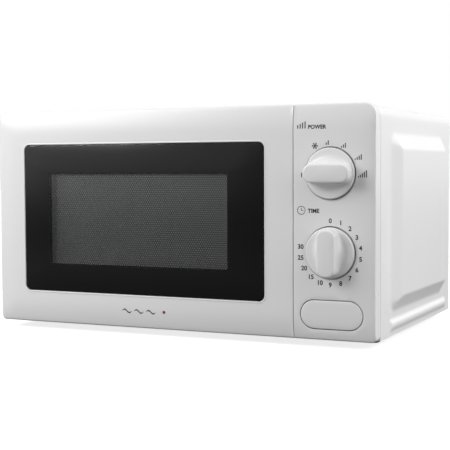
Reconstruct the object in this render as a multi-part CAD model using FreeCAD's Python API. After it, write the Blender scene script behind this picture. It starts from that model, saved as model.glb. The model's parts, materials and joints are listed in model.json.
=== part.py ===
"""Countertop microwave oven with two rotary controls and a push-button door, as separate parts.

Frame: +X to the oven's right as seen from the front, +Y from front to back, +Z up.
The origin is on the resting surface, under the centre of the oven's box. Sizes are in millimetres.
"""

import FreeCAD, Part
import math
import os

V = FreeCAD.Vector

# ---------------------------------------------------------------- driving sizes
front_width = 440.0          # door and control panel together
front_height = 232.0
front_depth = 15.7           # thickness of the door and of the control panel
body_depth = 290.0           # front plane to the back of the cabinet
body_drop = 2.0              # cabinet top below the top of the front
foot_height = 8.0
knob_reach = 16.0            # knob grip in front of the front plane
rear_reach = 14.0            # wall spacers behind the cabinet

cabinet_sheet = 1.0
chassis_sheet = 0.8
plastic_wall = 2.5
cabinet_corner = 11.0        # top edges of the wrap
front_corner = 12.0          # corners of the front seen face on
front_edge = 2.5             # rounding from the face to the sides
door_gap = 0.7               # between door and control panel
seat_gap = 0.5               # between door and front plate
slip = 0.3                   # general clearance between parts that only meet
running_fit = 0.05           # radial clearance of a turning fit

panel_width = 84.15
window_left, window_right = 36.0, 30.75      # door edge to glass
window_bottom, window_top = 35.3, 36.5
window_corner = 6.3
glass_thickness = 3.0
aperture_side, aperture_low, aperture_high = 34.0, 30.7, 32.5   # glass edge to clear area
door_swing = 95.0            # degrees

hinge_inset_x, hinge_inset_y = 7.5, 6.5      # hinge axis from the door's left edge and front
hinge_inset_z = 16.0         # hinge arms from the door's top and bottom
hinge_pin_radius = 2.5
hinge_arm_thickness = 3.0

cavity_left_margin = 24.0    # door's left edge to the cavity
cavity_right_margin = 37.15  # cavity to the door's right edge
cavity_floor_height = 21.0   # above the cabinet's bottom edge
cavity_top_gap = 19.0        # below the top of the front
cavity_rear_gap = 8.0        # in front of the cabinet's back edge

plateau_raise = 8.5          # pressed panel on each side of the cabinet
plateau_bevel = 15.0
plateau_front, plateau_back = 50.0, 253.0    # from the front plane
plateau_low, plateau_high = 25.0, 203.0      # from the cabinet's bottom edge
rib_raise = 3.0
rib_bevel = 4.0
rib_low, rib_high = 5.0, 17.0
rib_front, rib_back = 47.0, 268.0

knob_radius = 25.0
knob_rim = 3.5               # rim in front of the front plane
grip_length, grip_width = 43.0, 18.0
knob_gap = 0.7
well_depth = 7.0
shaft_radius = 3.0
shaft_seat = 19.7            # shaft inside the timer and the power selector
knob_inset = 38.5            # panel's left edge to the knob axis
timer_axis_height = 86.5
power_axis_height = 164.0

button_length, button_height = 64.0, 28.0
button_gap = 0.4
button_travel = 6.0
button_axis_height = 25.4
lever_barrel = 3.6           # radius of the release lever's bearing

tray_clearance = 10.0        # all round, inside the cavity
tray_thickness = 3.5
tray_rim = 12.0
roller_radius = 7.8
roller_inset = 25.5          # tray's edge to the middle of the rollers
foot_radius = 9.0
foot_inset = 22.0            # foot axis from the front's side edges
foot_front, foot_back = 60.0, 262.0

fan_radius = 42.0
magnetron_size = 80.0
magnetron_setback = 84.0     # behind the front plate
vent_start = 40.0            # first column of cavity vent holes behind the front plate
cord_radius = 3.75

# ---------------------------------------------------------------- planes that follow from them
half = front_width / 2
y_front = knob_reach - (knob_reach + body_depth + rear_reach) / 2
y_seat = y_front + front_depth                 # back of the door
y_plate = y_seat + seat_gap                    # front face of the front plate
y_inner = y_plate + chassis_sheet              # back of the front plate
y_back = y_front + body_depth
z_bottom = foot_height
z_top = foot_height + front_height
z_cabinet = z_top - body_drop
door_left = -half
door_width = front_width - panel_width - door_gap
door_right = door_left + door_width
panel_left = door_right + door_gap

glass = dict(x0=door_left + window_left, x1=door_right - window_right,
             z0=z_bottom + window_bottom, z1=z_top - window_top)
aperture = dict(x0=glass["x0"] + aperture_side, x1=glass["x1"] - aperture_side - 7.8,
                z0=glass["z0"] + aperture_low, z1=glass["z1"] - aperture_high)
cavity_width = door_width - cavity_left_margin - cavity_right_margin
cavity_height = front_height - cavity_floor_height - cavity_top_gap
cavity_depth = y_back - cavity_rear_gap - y_inner
cavity = dict(x0=-half + cavity_left_margin, x1=-half + cavity_left_margin + cavity_width,
              z0=z_bottom + cavity_floor_height,
              z1=z_bottom + cavity_floor_height + cavity_height)
y_cavity_back = y_inner + cavity_depth
bay_left = cavity["x1"] + chassis_sheet        # component bay beside the cavity
base_top = z_bottom + cabinet_sheet + chassis_sheet
y_rear_inside = y_back - cabinet_sheet - chassis_sheet
hinge_x = door_left + hinge_inset_x
hinge_y = y_front + hinge_inset_y
knob_x = panel_left + knob_inset
timer_z = z_bottom + timer_axis_height
power_z = z_bottom + power_axis_height
button_x = (panel_left + half) / 2 - 2.6
button_z = z_bottom + button_axis_height
tray_radius = min(cavity_width, cavity_depth) / 2 - tray_clearance
roller_circle = tray_radius - roller_inset
tray_x = (cavity["x0"] + cavity["x1"]) / 2
tray_y = (y_inner + y_cavity_back) / 2
roller_z = cavity["z0"] + roller_radius + 0.2
tray_z = roller_z + roller_radius + 0.2        # underside of the tray

X, Y, Z = V(1, 0, 0), V(0, 1, 0), V(0, 0, 1)


# ---------------------------------------------------------------- shape helpers
def block(x0, x1, y0, y1, z0, z1):
    return Part.makeBox(x1 - x0, y1 - y0, z1 - z0, V(x0, y0, z0))


def rod(start, direction, length, radius):
    return Part.makeCylinder(radius, length, start, direction)


def fuse(first, *rest):
    return first.fuse(list(rest)).removeSplitter() if rest else first


def cut(first, *rest):
    return first.cut(list(rest))


def outline(u0, u1, v0, v1, radii, place):
    """Closed wire of a rectangle whose corners (low-left, then anticlockwise) have these radii."""
    corners = [(u0, v0, 1, 1), (u1, v0, -1, 1), (u1, v1, -1, -1), (u0, v1, 1, -1)]
    points = []
    for index, ((u, v, su, sv), radius) in enumerate(zip(corners, radii)):
        centre = (u + su * radius, v + sv * radius)
        middle = (centre[0] - su * radius / math.sqrt(2), centre[1] - sv * radius / math.sqrt(2))
        on_u, on_v = (u + su * radius, v), (u, v + sv * radius)
        first, last = (on_v, on_u) if index % 2 == 0 else (on_u, on_v)
        points.append((first, middle, last))
    edges = []
    for index, (first, middle, last) in enumerate(points):
        if math.dist(first, last) > 1e-6:
            edges.append(Part.Arc(place(*first), place(*middle), place(*last)).toShape())
        following = points[(index + 1) % 4][0]
        if math.dist(last, following) > 1e-6:
            edges.append(Part.makeLine(place(*last), place(*following)))
    return Part.Wire(Part.__sortEdges__(edges))


def slab_y(x0, x1, z0, z1, y0, y1, radii):
    """Upright slab with rounded corners in front view. radii is one number or four."""
    radii = [radii] * 4 if isinstance(radii, (int, float)) else radii
    wire = outline(x0, x1, z0, z1, radii, lambda u, v: V(u, y0, v))
    return Part.Face(wire).extrude(V(0, y1 - y0, 0))


def slab_z(x0, x1, y0, y1, z0, z1, radius):
    wire = outline(x0, x1, y0, y1, [radius] * 4, lambda u, v: V(u, v, z0))
    return Part.Face(wire).extrude(V(0, 0, z1 - z0))


def slab_x(y0, y1, z0, z1, x0, x1, radius):
    wire = outline(y0, y1, z0, z1, [radius] * 4, lambda u, v: V(x0, u, v))
    return Part.Face(wire).extrude(V(x1 - x0, 0, 0))


def side_press(x_base, raise_x, y0, y1, z0, z1, bevel, corner):
    """Frustum pressed out of a side wall, from the plane x_base by raise_x."""
    base = outline(y0, y1, z0, z1, [corner + bevel * 0.6] * 4, lambda u, v: V(x_base, u, v))
    crown = outline(y0 + bevel, y1 - bevel, z0 + bevel, z1 - bevel, [corner] * 4,
                    lambda u, v: V(x_base + raise_x, u, v))
    return Part.makeLoft([base, crown], True, True)


def back_press(y_base, raise_y, x0, x1, z0, z1, bevel, corner):
    base = outline(x0, x1, z0, z1, [corner + bevel * 0.6] * 4, lambda u, v: V(u, y_base, v))
    crown = outline(x0 + bevel, x1 - bevel, z0 + bevel, z1 - bevel, [corner] * 4,
                    lambda u, v: V(u, y_base + raise_y, v))
    return Part.makeLoft([base, crown], True, True)


def fillet_where(shape, radius, test):
    """Round the edges for which test(bounding box) holds."""
    edges = [edge for edge in shape.Edges if test(edge.BoundBox)]
    return shape.makeFillet(radius, edges) if edges else shape


def prism_x(points, x0, x1):
    """Solid from a closed outline of (y, z) points, pushed along X."""
    wire = Part.makePolygon([V(x0, y, z) for y, z in points + points[:1]])
    return Part.Face(wire).extrude(V(x1 - x0, 0, 0))


def coil_spring(x, y, z0, z1, radius, wire, turns):
    """Upright helical spring that just fits between z0 and z1."""
    low, high = z0 + wire, z1 - wire
    helix = Part.makeHelix((high - low) / turns, high - low, radius)
    helix.translate(V(x, y, low))
    section = Part.Wire(Part.makeCircle(wire, V(x + radius, y, low), Y))
    return Part.Wire(helix.Edges).makePipeShell([section], True, True)


def turn_z(shape, degrees, x, y):
    copy = shape.copy()
    copy.rotate(V(x, y, 0), Z, degrees)
    return copy


os.makedirs("parts", exist_ok=True)


def save(name, *solids):
    shape = solids[0] if len(solids) == 1 else Part.makeCompound(list(solids))
    if not shape.isValid() or shape.Volume <= 0:
        raise ValueError(f"{name} did not build")
    shape.exportStep(f"parts/{name}.step")
    print(f"{name}: {len(shape.Solids)} solid(s), {shape.Volume / 1000:.2f} cm3")


# ---------------------------------------------------------------- cabinet
def cabinet_section(offset, y0, y1):
    """The wrap's arch-shaped section, moved inwards by offset."""
    corner = cabinet_corner - offset
    return slab_y(-half + offset, half - offset, z_bottom + offset, z_cabinet - offset, y0, y1,
                  [0, 0, corner, corner])


def outer_cabinet():
    """Pressed steel wrap: top and sides in one sheet, with a narrow flange at the back and below."""
    flange, foot_flange = 9.0, 3.5
    y0 = y_plate + slip
    body = cabinet_section(0, y0, y_back)
    inside = cabinet_section(cabinet_sheet, y0 - 1, y_back - cabinet_sheet)
    back_opening = cabinet_section(flange, y_back - cabinet_sheet - 1, y_back + 1)
    below = block(-half + foot_flange, half - foot_flange, y0 - 1, y_back + 1,
                  z_bottom - 1, z_bottom + flange + 1)
    body = cut(body, inside, back_opening, below)
    pressings = [(plateau_raise, y_front + plateau_front, y_front + plateau_back,
                  z_bottom + plateau_low, z_bottom + plateau_high, plateau_bevel, 12.0),
                 (rib_raise, y_front + rib_front, y_front + rib_back,
                  z_bottom + rib_low, z_bottom + rib_high, rib_bevel, 1.5)]
    for side in (-1, 1):
        for rise, ya, yb, za, zb, bevel, corner in pressings:
            proud = side_press(side * half, side * rise, ya, yb, za, zb, bevel, corner)
            hollow = side_press(side * (half - cabinet_sheet), side * rise, ya, yb, za, zb,
                                bevel, corner)
            root = slab_x(ya, yb, za, zb, side * (half - cabinet_sheet), side * half,
                          corner + bevel * 0.6)
            body = body.fuse([root, proud]).cut(hollow)
    slots = []
    for index in range(10):
        y = y_front + plateau_back - plateau_bevel - 16 - index * 8
        z = z_bottom + plateau_high - plateau_bevel - 14
        slots.append(block(-half - plateau_raise - 1, -half + 2, y - 1.6, y + 1.6, z - 32, z))
    for x, z in screw_places():
        slots.append(rod(V(x, y_back - 2, z), Y, 4, 1.6))
    save("outer_cabinet", cut(body, *slots))


def screw_places():
    """Rear screws of the wrap: two on each side and two along the top."""
    inset = 5.0
    sides = [(side * (half - inset), z_bottom + height) for side in (-1, 1)
             for height in (40.0, 180.0)]
    return sides + [(side * half * 0.55, z_cabinet - inset) for side in (-1, 1)]


def screws():
    """Cross-head screws of the wrap, and the four that hold the timer bracket."""
    solids = []
    for x, z in screw_places():
        head = rod(V(x, y_back, z), Y, 2.2, 3.4)
        cross = cut(head, block(x - 2.2, x + 2.2, y_back + 1.2, y_back + 3, z - 0.5, z + 0.5),
                    block(x - 0.5, x + 0.5, y_back + 1.2, y_back + 3, z - 2.2, z + 2.2))
        solids.append(fuse(cross, rod(V(x, y_back - 6, z), Y, 6, 1.5)))
    for x, z in bracket_screws():
        y0 = unit_plane()
        solids.append(fuse(rod(V(x, y0, z), Y, 1.8, 3.0), rod(V(x, y0 - 8, z), Y, 8, 1.15)))
    save("screws", *solids)


def rear_panel():
    """Chassis back with a pressed-out bay for the fan, its grille and the cord entry."""
    clear = cabinet_sheet + 0.2
    y0, y1 = y_rear_inside, y_rear_inside + chassis_sheet
    corner = cabinet_corner - clear
    plate = slab_y(-half + clear, half - clear, z_bottom + cabinet_sheet, z_cabinet - clear,
                   y0, y1, [0, 0, corner, corner])
    press = 8.0
    bay = (bay_left + 4, half - 11, z_bottom + 16, z_cabinet - 12)
    proud = back_press(y1, press, *bay, 9.0, 8.0)
    root = slab_y(*bay, y0, y1, 8.0 + 9.0 * 0.6)
    hollow = back_press(y0, press, *bay, 9.0, 8.0)
    plate = plate.fuse([root, proud]).cut(hollow)
    cuts = []
    fan_x, fan_z = fan_centre()
    rows = 11
    for row in range(rows):
        z = fan_z + (row - (rows - 1) / 2) * 7.5
        reach = math.sqrt(max(fan_radius ** 2 - (z - fan_z) ** 2, 16.0 ** 2))
        for side in (-1, 1):
            x0, x1 = sorted((fan_x + side * 3.0, fan_x + side * reach))
            cuts.append(slab_y(x0, x1, z - 1.9, z + 1.9, y0 - 1, y1 + press + 1, 1.8))
    for row in range(7):
        z = z_cabinet - 30 - row * 8
        for column in range(3):
            x = -half + 30 + column * 32
            cuts.append(slab_y(x, x + 24, z - 1.7, z + 1.7, y0 - 1, y1 + 1, 1.6))
    for x, z in screw_places():
        cuts.append(rod(V(x, y0 - 1, z), Y, 4, 1.6))
    for x, z in spacer_places():
        cuts.append(rod(V(x, y0 - 1, z), Y, 4, 3.0 + slip / 2))
    gx, gz = gland_place()
    cuts.append(rod(V(gx, y0 - 1, gz), Y, press + 4, gland_neck()))
    save("rear_panel", cut(plate, *cuts))


def fan_centre():
    return (bay_left + half) / 2 + 2.0, z_cabinet - 66.0


def gland_place():
    return half - 42.0, z_bottom + 42.0


def gland_neck():
    return cord_radius + 3.0


def spacer_places():
    return [(-half + 60.0, z_bottom + 60.0), (-half + 60.0, z_cabinet - 110.0),
            (bay_left - 30.0, z_bottom + 60.0)]


def rear_spacers():
    """Bumpers that keep the air gap between the oven and a wall."""
    spacers = []
    y1 = y_rear_inside + chassis_sheet
    for x, z in spacer_places():
        cone = Part.makeCone(9.0, 6.5, y_back + rear_reach - y1, V(x, y1, z), Y)
        cone = fillet_where(cone, 1.5, lambda box: box.YMin > y_back + rear_reach - 0.1)
        spacers.append(fuse(cone, rod(V(x, y1 - 5, z), Y, 5, 3.0)))
    save("rear_spacers", *spacers)


def cord_gland():
    """Bushing with a bore for the mains cord, snapped into the rear panel."""
    gx, gz = gland_place()
    outside = y_rear_inside + chassis_sheet + 8.0
    body = fuse(rod(V(gx, outside - 5, gz), Y, 5, gland_neck()),
                rod(V(gx, outside, gz), Y, 3.5, gland_neck() + 3.5),
                rod(V(gx, outside - 8.8, gz), Y, 8.0 - 0.8, gland_neck() + 1.5)
                .cut(rod(V(gx, outside - 0.8, gz), Y, 3, 20)))
    save("cord_gland", cut(body, rod(V(gx, outside - 12, gz), Y, 20, cord_radius)))


def base_plate():
    y0, y1 = y_inner, y_rear_inside
    clear = cabinet_sheet + 0.2
    plate = block(-half + clear, half - clear, y0, y1, z_bottom + cabinet_sheet, base_top)
    cuts = [rod(V(x, y, z_bottom - 1), Z, 6, 4.0) for x, y in foot_places()]
    for row in range(8):
        y = y_inner + 30 + row * 9
        cuts.append(slab_z(bay_left + 6, bay_left + 16, y - 2, y + 2, z_bottom - 1,
                           base_top + 1, 1.9))
        cuts.append(slab_z(half - 30, half - 8, y - 2 + 20, y + 2 + 20, z_bottom - 1,
                           base_top + 1, 1.9))
    for row in range(5):
        y = tray_y - 66 + row * 9
        cuts.append(slab_z(tray_x - 30, tray_x + 30, y - 2, y + 2, z_bottom - 1,
                           base_top + 1, 1.9))
    save("base_plate", cut(plate, *cuts))


def foot_places():
    return [(side * (half - foot_inset), y_front + depth) for side in (-1, 1)
            for depth in (foot_front, foot_back)]


def feet():
    """Moulded feet pushed into the base plate."""
    solids = []
    seat = z_bottom + cabinet_sheet
    for x, y in foot_places():
        pad = Part.makeCone(foot_radius - 1.5, foot_radius, seat, V(x, y, 0), Z)
        pad = fillet_where(pad, 0.8, lambda box: box.ZMax < 0.01)
        solids.append(fuse(pad, rod(V(x, y, seat), Z, chassis_sheet, 3.9),
                           Part.makeCone(5.0, 3.0, 3.0, V(x, y, base_top), Z)))
    save("feet", *solids)


def front_plate():
    """Steel face of the chassis: cavity mouth, latch slots, hinge slots and the control bay."""
    clear = cabinet_sheet + 0.2
    corner = cabinet_corner - clear
    plate = slab_y(-half + clear, half - clear, z_bottom + cabinet_sheet, z_cabinet - clear,
                   y_plate, y_inner, [0, 0, corner, corner])
    mouth = slab_y(cavity["x0"], cavity["x1"], cavity["z0"], cavity["z1"],
                   y_plate - 1, y_inner + 1, 6.0)
    bay = slab_y(panel_left + 4, half - 7, z_bottom + 5, z_cabinet - 9, y_plate - 1, y_inner + 1, 4.0)
    cuts = [mouth, bay]
    for z0 in hook_heights():
        cuts.append(block(latch_x() - 5.5, latch_x() + 6.5, y_plate - 1, y_inner + 1,
                          z0 - 7, z0 + 18))
    for z in hinge_heights():
        cuts.append(block(hinge_x - 4, hinge_x + 4, y_plate - 1, y_inner + 1,
                          z - hinge_arm_thickness / 2 - slip, z + hinge_arm_thickness / 2 + slip))
    save("front_plate", cut(plate, *cuts))


def cavity_shell():
    """Five-sided enamelled box, welded behind the front plate."""
    wall = chassis_sheet
    inner = block(cavity["x0"], cavity["x1"], y_inner - 1, y_cavity_back, cavity["z0"], cavity["z1"])
    inner = fillet_where(inner, 6.0, lambda box: box.YLength > cavity_depth - 1)
    inner = fillet_where(inner, 6.0, lambda box: box.YMin > y_cavity_back - 6.1)
    outer = block(cavity["x0"] - wall, cavity["x1"] + wall, y_inner, y_cavity_back + wall,
                  cavity["z0"] - wall, cavity["z1"] + wall)
    outer = fillet_where(outer, 6.0 + wall, lambda box: box.YLength > cavity_depth - 1)
    outer = fillet_where(outer, 6.0 + wall, lambda box: box.YMin > y_cavity_back - 6.1)
    cuts = [inner, rod(V(tray_x, tray_y, cavity["z0"] - 3), Z, 6, 8.0)]
    y0, y1, z0, z1 = inlet_window()
    cuts.append(block(cavity["x1"] - 1, cavity["x1"] + wall + 1, y0, y1, z0, z1))
    for row in range(6):
        for column in range(6):
            y = y_inner + vent_start + column * 6
            z = cavity["z1"] - 24 - row * 6
            cuts.append(rod(V(cavity["x1"] - 1, y, z), X, 4, 1.7))
            y = y_cavity_back - 20 - column * 6
            cuts.append(rod(V(cavity["x0"] - 2, y, z), X, 4, 1.7))
    save("cavity_shell", cut(outer, *cuts))


def inlet_window():
    return y_inner + 160, y_inner + 212, cavity["z0"] + 98, cavity["z0"] + 156


def waveguide_cover():
    y0, y1, z0, z1 = inlet_window()
    plate = slab_x(y0 - 7, y1 + 7, z0 - 7, z1 + 7, cavity["x1"] - 0.6, cavity["x1"], 3.0)
    save("waveguide_cover", plate)


# ---------------------------------------------------------------- door
def hinge_heights():
    return [z_bottom + hinge_inset_z, z_top - hinge_inset_z]


def latch_x():
    return door_right - 14.0


def hook_heights():
    """Underside of the lower and of the upper latch hook's arm."""
    return [z_bottom + 54.0, z_bottom + 184.0]


def hinge_corner(z0, z1):
    """Stock to remove so the door's back left edge is a cylinder about the hinge axis."""
    radius = y_plate - hinge_y - 0.4
    corner = block(door_left - 1, hinge_x, hinge_y, y_plate, z0 - 1, z1 + 1)
    return cut(corner, rod(V(hinge_x, hinge_y, z0 - 2), Z, z1 - z0 + 4, radius))


def door_frame():
    """Moulded door body: rounded shell, window collar, hinge blocks and latch guides."""
    corners = [front_corner * 0.75, 1.5, 1.5, front_corner * 0.75]
    outer = slab_y(door_left, door_right, z_bottom, z_top, y_front, y_seat, corners)
    outer = fillet_where(outer, front_edge * 0.56, lambda box: box.YMax < y_front + 0.01)
    wall = plastic_wall
    inner_corners = [max(c - wall, 0.5) for c in corners]
    inner = slab_y(door_left + wall, door_right - wall, z_bottom + wall, z_top - wall,
                   y_front + wall, y_seat + 1, inner_corners)
    body = cut(outer, inner)
    collar = slab_y(glass["x0"] - 3, glass["x1"] + 3, glass["z0"] - 3, glass["z1"] + 3,
                    y_front + 1, y_front + 6.3, window_corner + 3)
    blocks = []
    for z in hinge_heights():
        blocks.append(block(door_left + wall - 0.5, hinge_x + 7, y_front + 1, y_seat - 1.2,
                            z - 9, z + 9))
    x = latch_x()
    for z in (z_bottom + 92, z_bottom + 152):
        blocks.append(block(x - 7, x + 7, y_front + 1, y_front + 6.7, z, z + 6))
    spring_seat = z_bottom + 218.0
    blocks.append(block(x - 5, x + 5, y_front + 1, y_front + 12.8, spring_seat, spring_seat + 3))
    for u in (0.2, 0.5, 0.8):
        px = door_left + u * door_width
        for pz in (z_bottom + 6.3, z_top - 6.3):
            blocks.append(rod(V(px, y_front + 1, pz), Y, front_depth - 3.9, 3.0))
    body = fuse(body, collar, *blocks)
    pocket = slab_y(glass["x0"] - 0.2, glass["x1"] + 0.2, glass["z0"] - 0.2, glass["z1"] + 0.2,
                    y_front - 1, y_front + glass_thickness + 0.3, window_corner + 0.2)
    through = slab_y(glass["x0"] + 6, glass["x1"] - 6, glass["z0"] + 6, glass["z1"] - 6,
                     y_front - 1, y_front + 10, 2.0)
    cuts = [pocket, through, hinge_corner(z_bottom, z_top)]
    eye = hinge_pin_radius + 2.3
    for z in hinge_heights():
        half_slot = hinge_arm_thickness / 2 + slip
        cuts.append(rod(V(hinge_x, hinge_y, z - half_slot), Z, 2 * half_slot, eye))
        cuts.append(block(door_left - 1, hinge_x + 2.9, hinge_y - 3.5, y_seat + 1,
                          z - half_slot, z + half_slot))
        cuts.append(rod(V(hinge_x, hinge_y, z - 7), Z, 14, hinge_pin_radius))
    save("door_frame", cut(body, *cuts))


def door_glass():
    pane = slab_y(glass["x0"], glass["x1"], glass["z0"], glass["z1"], y_front + 0.3,
                  y_front + 0.3 + glass_thickness, window_corner)
    save("door_glass", fillet_where(pane, 0.5, lambda box: box.YMax < y_front + 0.31))


def choke_plane():
    return y_front + 7.0


def choke_frame():
    """Folded steel pan that seals the cavity mouth and carries the perforated screen."""
    y0, sheet, rim = choke_plane(), chassis_sheet, 6.0
    x0, x1 = cavity["x0"] - 8, cavity["x1"] + 10
    z0, z1 = cavity["z0"] - 9, cavity["z1"] + 9
    pan = slab_y(x0, x1, z0, z1, y0, y0 + rim, 4.0)
    hollow = slab_y(x0 + sheet, x1 - sheet, z0 + sheet, z1 - sheet, y0 + sheet, y0 + rim + 1,
                    4.0 - sheet)
    fold = cut(slab_y(x0 + 9, x1 - 9, z0 + 9, z1 - 9, y0, y0 + rim, 3.0),
               slab_y(x0 + 9 + sheet, x1 - 9 - sheet, z0 + 9 + sheet, z1 - 9 - sheet,
                      y0 - 1, y0 + rim + 1, 2.2))
    window = slab_y(aperture["x0"] - 4, aperture["x1"] + 4, aperture["z0"] - 4, aperture["z1"] + 4,
                    y0 - 1, y0 + rim + 1, 2.0)
    save("choke_frame", cut(fuse(cut(pan, hollow), fold), window))


def perforated_screen():
    """Sheet with the window's perforation, spot-welded behind the choke frame's opening."""
    y0 = choke_plane() + chassis_sheet
    plate = slab_y(aperture["x0"] - 12, aperture["x1"] + 12, aperture["z0"] - 12,
                   aperture["z1"] + 12, y0, y0 + 0.5, 3.0)
    save("perforated_screen", plate)


def inner_window():
    y0 = choke_plane() + chassis_sheet + 0.5
    pane = slab_y(aperture["x0"] - 20, aperture["x1"] + 20, aperture["z0"] - 20,
                  aperture["z1"] + 20, y0 + 2.0, y0 + 3.5, 4.0)
    save("inner_window", pane)


def choke_cover():
    """Moulded inner frame that covers the choke and clips into the door body."""
    wall = plastic_wall + slip
    y1 = y_seat - 0.2
    y0 = y1 - 2.2
    x0, x1 = hinge_x + 9.5, door_right - wall
    plate = slab_y(x0, x1, z_bottom + wall, z_top - wall, y0, y1, 4.0)
    lip = slab_y(aperture["x0"] - 22, aperture["x1"] + 22, aperture["z0"] - 22,
                 aperture["z1"] + 22, choke_plane() + chassis_sheet + 4.0, y0, 5.0)
    window = slab_y(aperture["x0"] - 14, aperture["x1"] + 14, aperture["z0"] - 14,
                    aperture["z1"] + 14, y_front, y_seat + 1, 4.0)
    cuts = [window]
    for z0 in hook_heights():
        cuts.append(block(latch_x() - 5, latch_x() + 5, y0 - 1, y1 + 1, z0 - 6, z0 + 17))
    save("choke_cover", cut(fuse(plate, lip), *cuts))


def latch_hooks():
    """Sprung bar inside the door with two hooks that reach behind the front plate."""
    x = latch_x()
    y0 = y_front + 7.0
    low, high = hook_heights()
    bar = block(x - 3, x + 3, y0, y0 + 4.5, low - 4, high + 20)
    parts = [bar]
    for z0 in (low, high):
        arm = prism_x([(y0, z0), (y0, z0 + 8), (y_inner + 20, z0 + 8), (y_inner + 27, z0 + 2),
                       (y_inner + 27, z0 - 4), (y_inner + 23, z0 - 4), (y_inner + 21, z0)],
                      x - 3, x + 3)
        parts.append(arm)
    save("latch_hooks", fuse(*parts))


def latch_spring():
    x = latch_x()
    save("latch_spring", coil_spring(x, y_front + 9.2, hook_heights()[1] + 20, z_bottom + 218.0,
                                     2.2, 0.35, 6))


def hinge_pins():
    pins = [rod(V(hinge_x, hinge_y, z - 7), Z, 14, hinge_pin_radius) for z in hinge_heights()]
    save("hinge_pins", *pins)


def hinge_brackets():
    """Two arms from behind the front plate to the hinge pins."""
    t = hinge_arm_thickness / 2
    brackets = []
    for z in hinge_heights():
        arm = block(hinge_x - 2.5, hinge_x + 2.5, hinge_y, y_inner + 1.5, z - t, z + t)
        eye = rod(V(hinge_x, hinge_y, z - t), Z, 2 * t, hinge_pin_radius + 2.0)
        flange = block(hinge_x - 5, hinge_x + 12, y_inner, y_inner + 1.5, z - 7, z + 7)
        bore = rod(V(hinge_x, hinge_y, z - t - 1), Z, 2 * t + 2, hinge_pin_radius + running_fit)
        brackets.append(cut(fuse(arm, eye, flange), bore))
    save("hinge_brackets", *brackets)


# ---------------------------------------------------------------- controls
def control_panel():
    """Moulded panel: rounded shell, wells for both knobs and a sleeve for the door button."""
    wall = plastic_wall
    corners = [1.5, front_corner, front_corner, 1.5]
    outer = slab_y(panel_left, half, z_bottom, z_top, y_front, y_plate, corners)
    outer = fillet_where(outer, front_edge * 0.56, lambda box: box.YMax < y_front + 0.01)
    inner = slab_y(panel_left + wall, half - wall, z_bottom + wall, z_top - wall,
                   y_front + wall, y_plate + 1, [0.5, front_corner - wall, front_corner - wall, 0.5])
    body = cut(outer, inner)
    sleeve = stadium(button_gap + 2.0, y_front + 1, y_front + 14.0)
    adds = [sleeve]
    cuts = [stadium(button_gap, y_front - 1, y_front + 20)]
    for z in (timer_z, power_z):
        adds.append(rod(V(knob_x, y_front + 1, z), Y, well_depth + 1.0, knob_radius + 3))
        cuts.append(rod(V(knob_x, y_front - 1, z), Y, well_depth + 1, knob_radius + knob_gap))
        cuts.append(rod(V(knob_x, y_front, z), Y, 20, shaft_radius + 1.5))
    for x, z in bracket_screws():
        adds.append(rod(V(x, y_front + 1, z), Y, 12.0, 3.2))
        cuts.append(rod(V(x, y_front + 4, z), Y, 12.0, 1.2))
    save("control_panel", cut(fuse(body, *adds), *cuts))


def bracket_screws():
    return [(x, z) for x in (panel_left + 7.5, half - 8.5) for z in (z_bottom + 62, z_bottom + 218)]


def stadium(grow, y0, y1):
    """Racetrack shape of the door button, larger all round by grow."""
    length, height = button_length / 2 + grow, button_height / 2 + grow
    return slab_y(button_x - length, button_x + length, button_z - height, button_z + height,
                  y0, y1, height - 0.01)


def door_button():
    shell = stadium(0, y_front, y_front + 14.0)
    shell = fillet_where(shell, 0.6, lambda box: box.YMax < y_front + 0.01)
    flange = stadium(button_gap + 1.5, y_front + 14.0, y_front + 15.5)
    hollow = stadium(-2.2, y_front + 2.4, y_front + 20)
    bridge = block(button_x - 6, button_x + 6, y_front + 2, y_front + 15.5,
                   button_z - 12.5, button_z + 12.5)
    save("door_button", fuse(cut(fuse(shell, flange), hollow), bridge))


def knob(name, z, along_x):
    """Knob with a skirt and a raised grip bar, bored for its shaft."""
    skirt = rod(V(knob_x, y_front - knob_rim, z), Y, knob_rim + well_depth - 0.6, knob_radius)
    skirt = fillet_where(skirt, 2.0, lambda box: box.YMax < y_front - knob_rim + 0.01)
    a, b = (grip_length / 2, grip_width / 2) if along_x else (grip_width / 2, grip_length / 2)
    grip = slab_y(knob_x - a, knob_x + a, z - b, z + b, y_front - knob_reach,
                  y_front - knob_rim + 1, 8.0)
    grip = fillet_where(grip, 2.5, lambda box: box.YMax < y_front - knob_reach + 0.01)
    hollow = rod(V(knob_x, y_front - knob_rim + 2.5, z), Y, 12, knob_radius - 2.5)
    hub = rod(V(knob_x, y_front - knob_rim + 1, z), Y, knob_rim + well_depth - 1.6, 6.5)
    body = fuse(cut(fuse(skirt, grip), hollow), hub)
    bore = rod(V(knob_x, y_front - 8, z), Y, 20, shaft_radius)
    save(name, cut(body, bore))


def unit_plane():
    return y_front + 14.0


def shaft(name, z):
    start = y_front - 8
    save(name, rod(V(knob_x, start, z), Y, unit_plane() + shaft_seat - start, shaft_radius))


def timer_bracket():
    """Steel plate on the panel's posts that carries the timer and the power selector."""
    y0 = unit_plane() - 1.0
    plate = block(panel_left + 4, half - 4.5, y0, y0 + 1.0, z_bottom + 57, z_bottom + 223)
    cuts = [rod(V(knob_x, y0 - 1, z), Y, 3, 6.0) for z in (timer_z, power_z)]
    cuts += [rod(V(x, y0 - 1, z), Y, 3, 1.6) for x, z in bracket_screws()]
    save("timer_bracket", cut(plate, *cuts))


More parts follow.
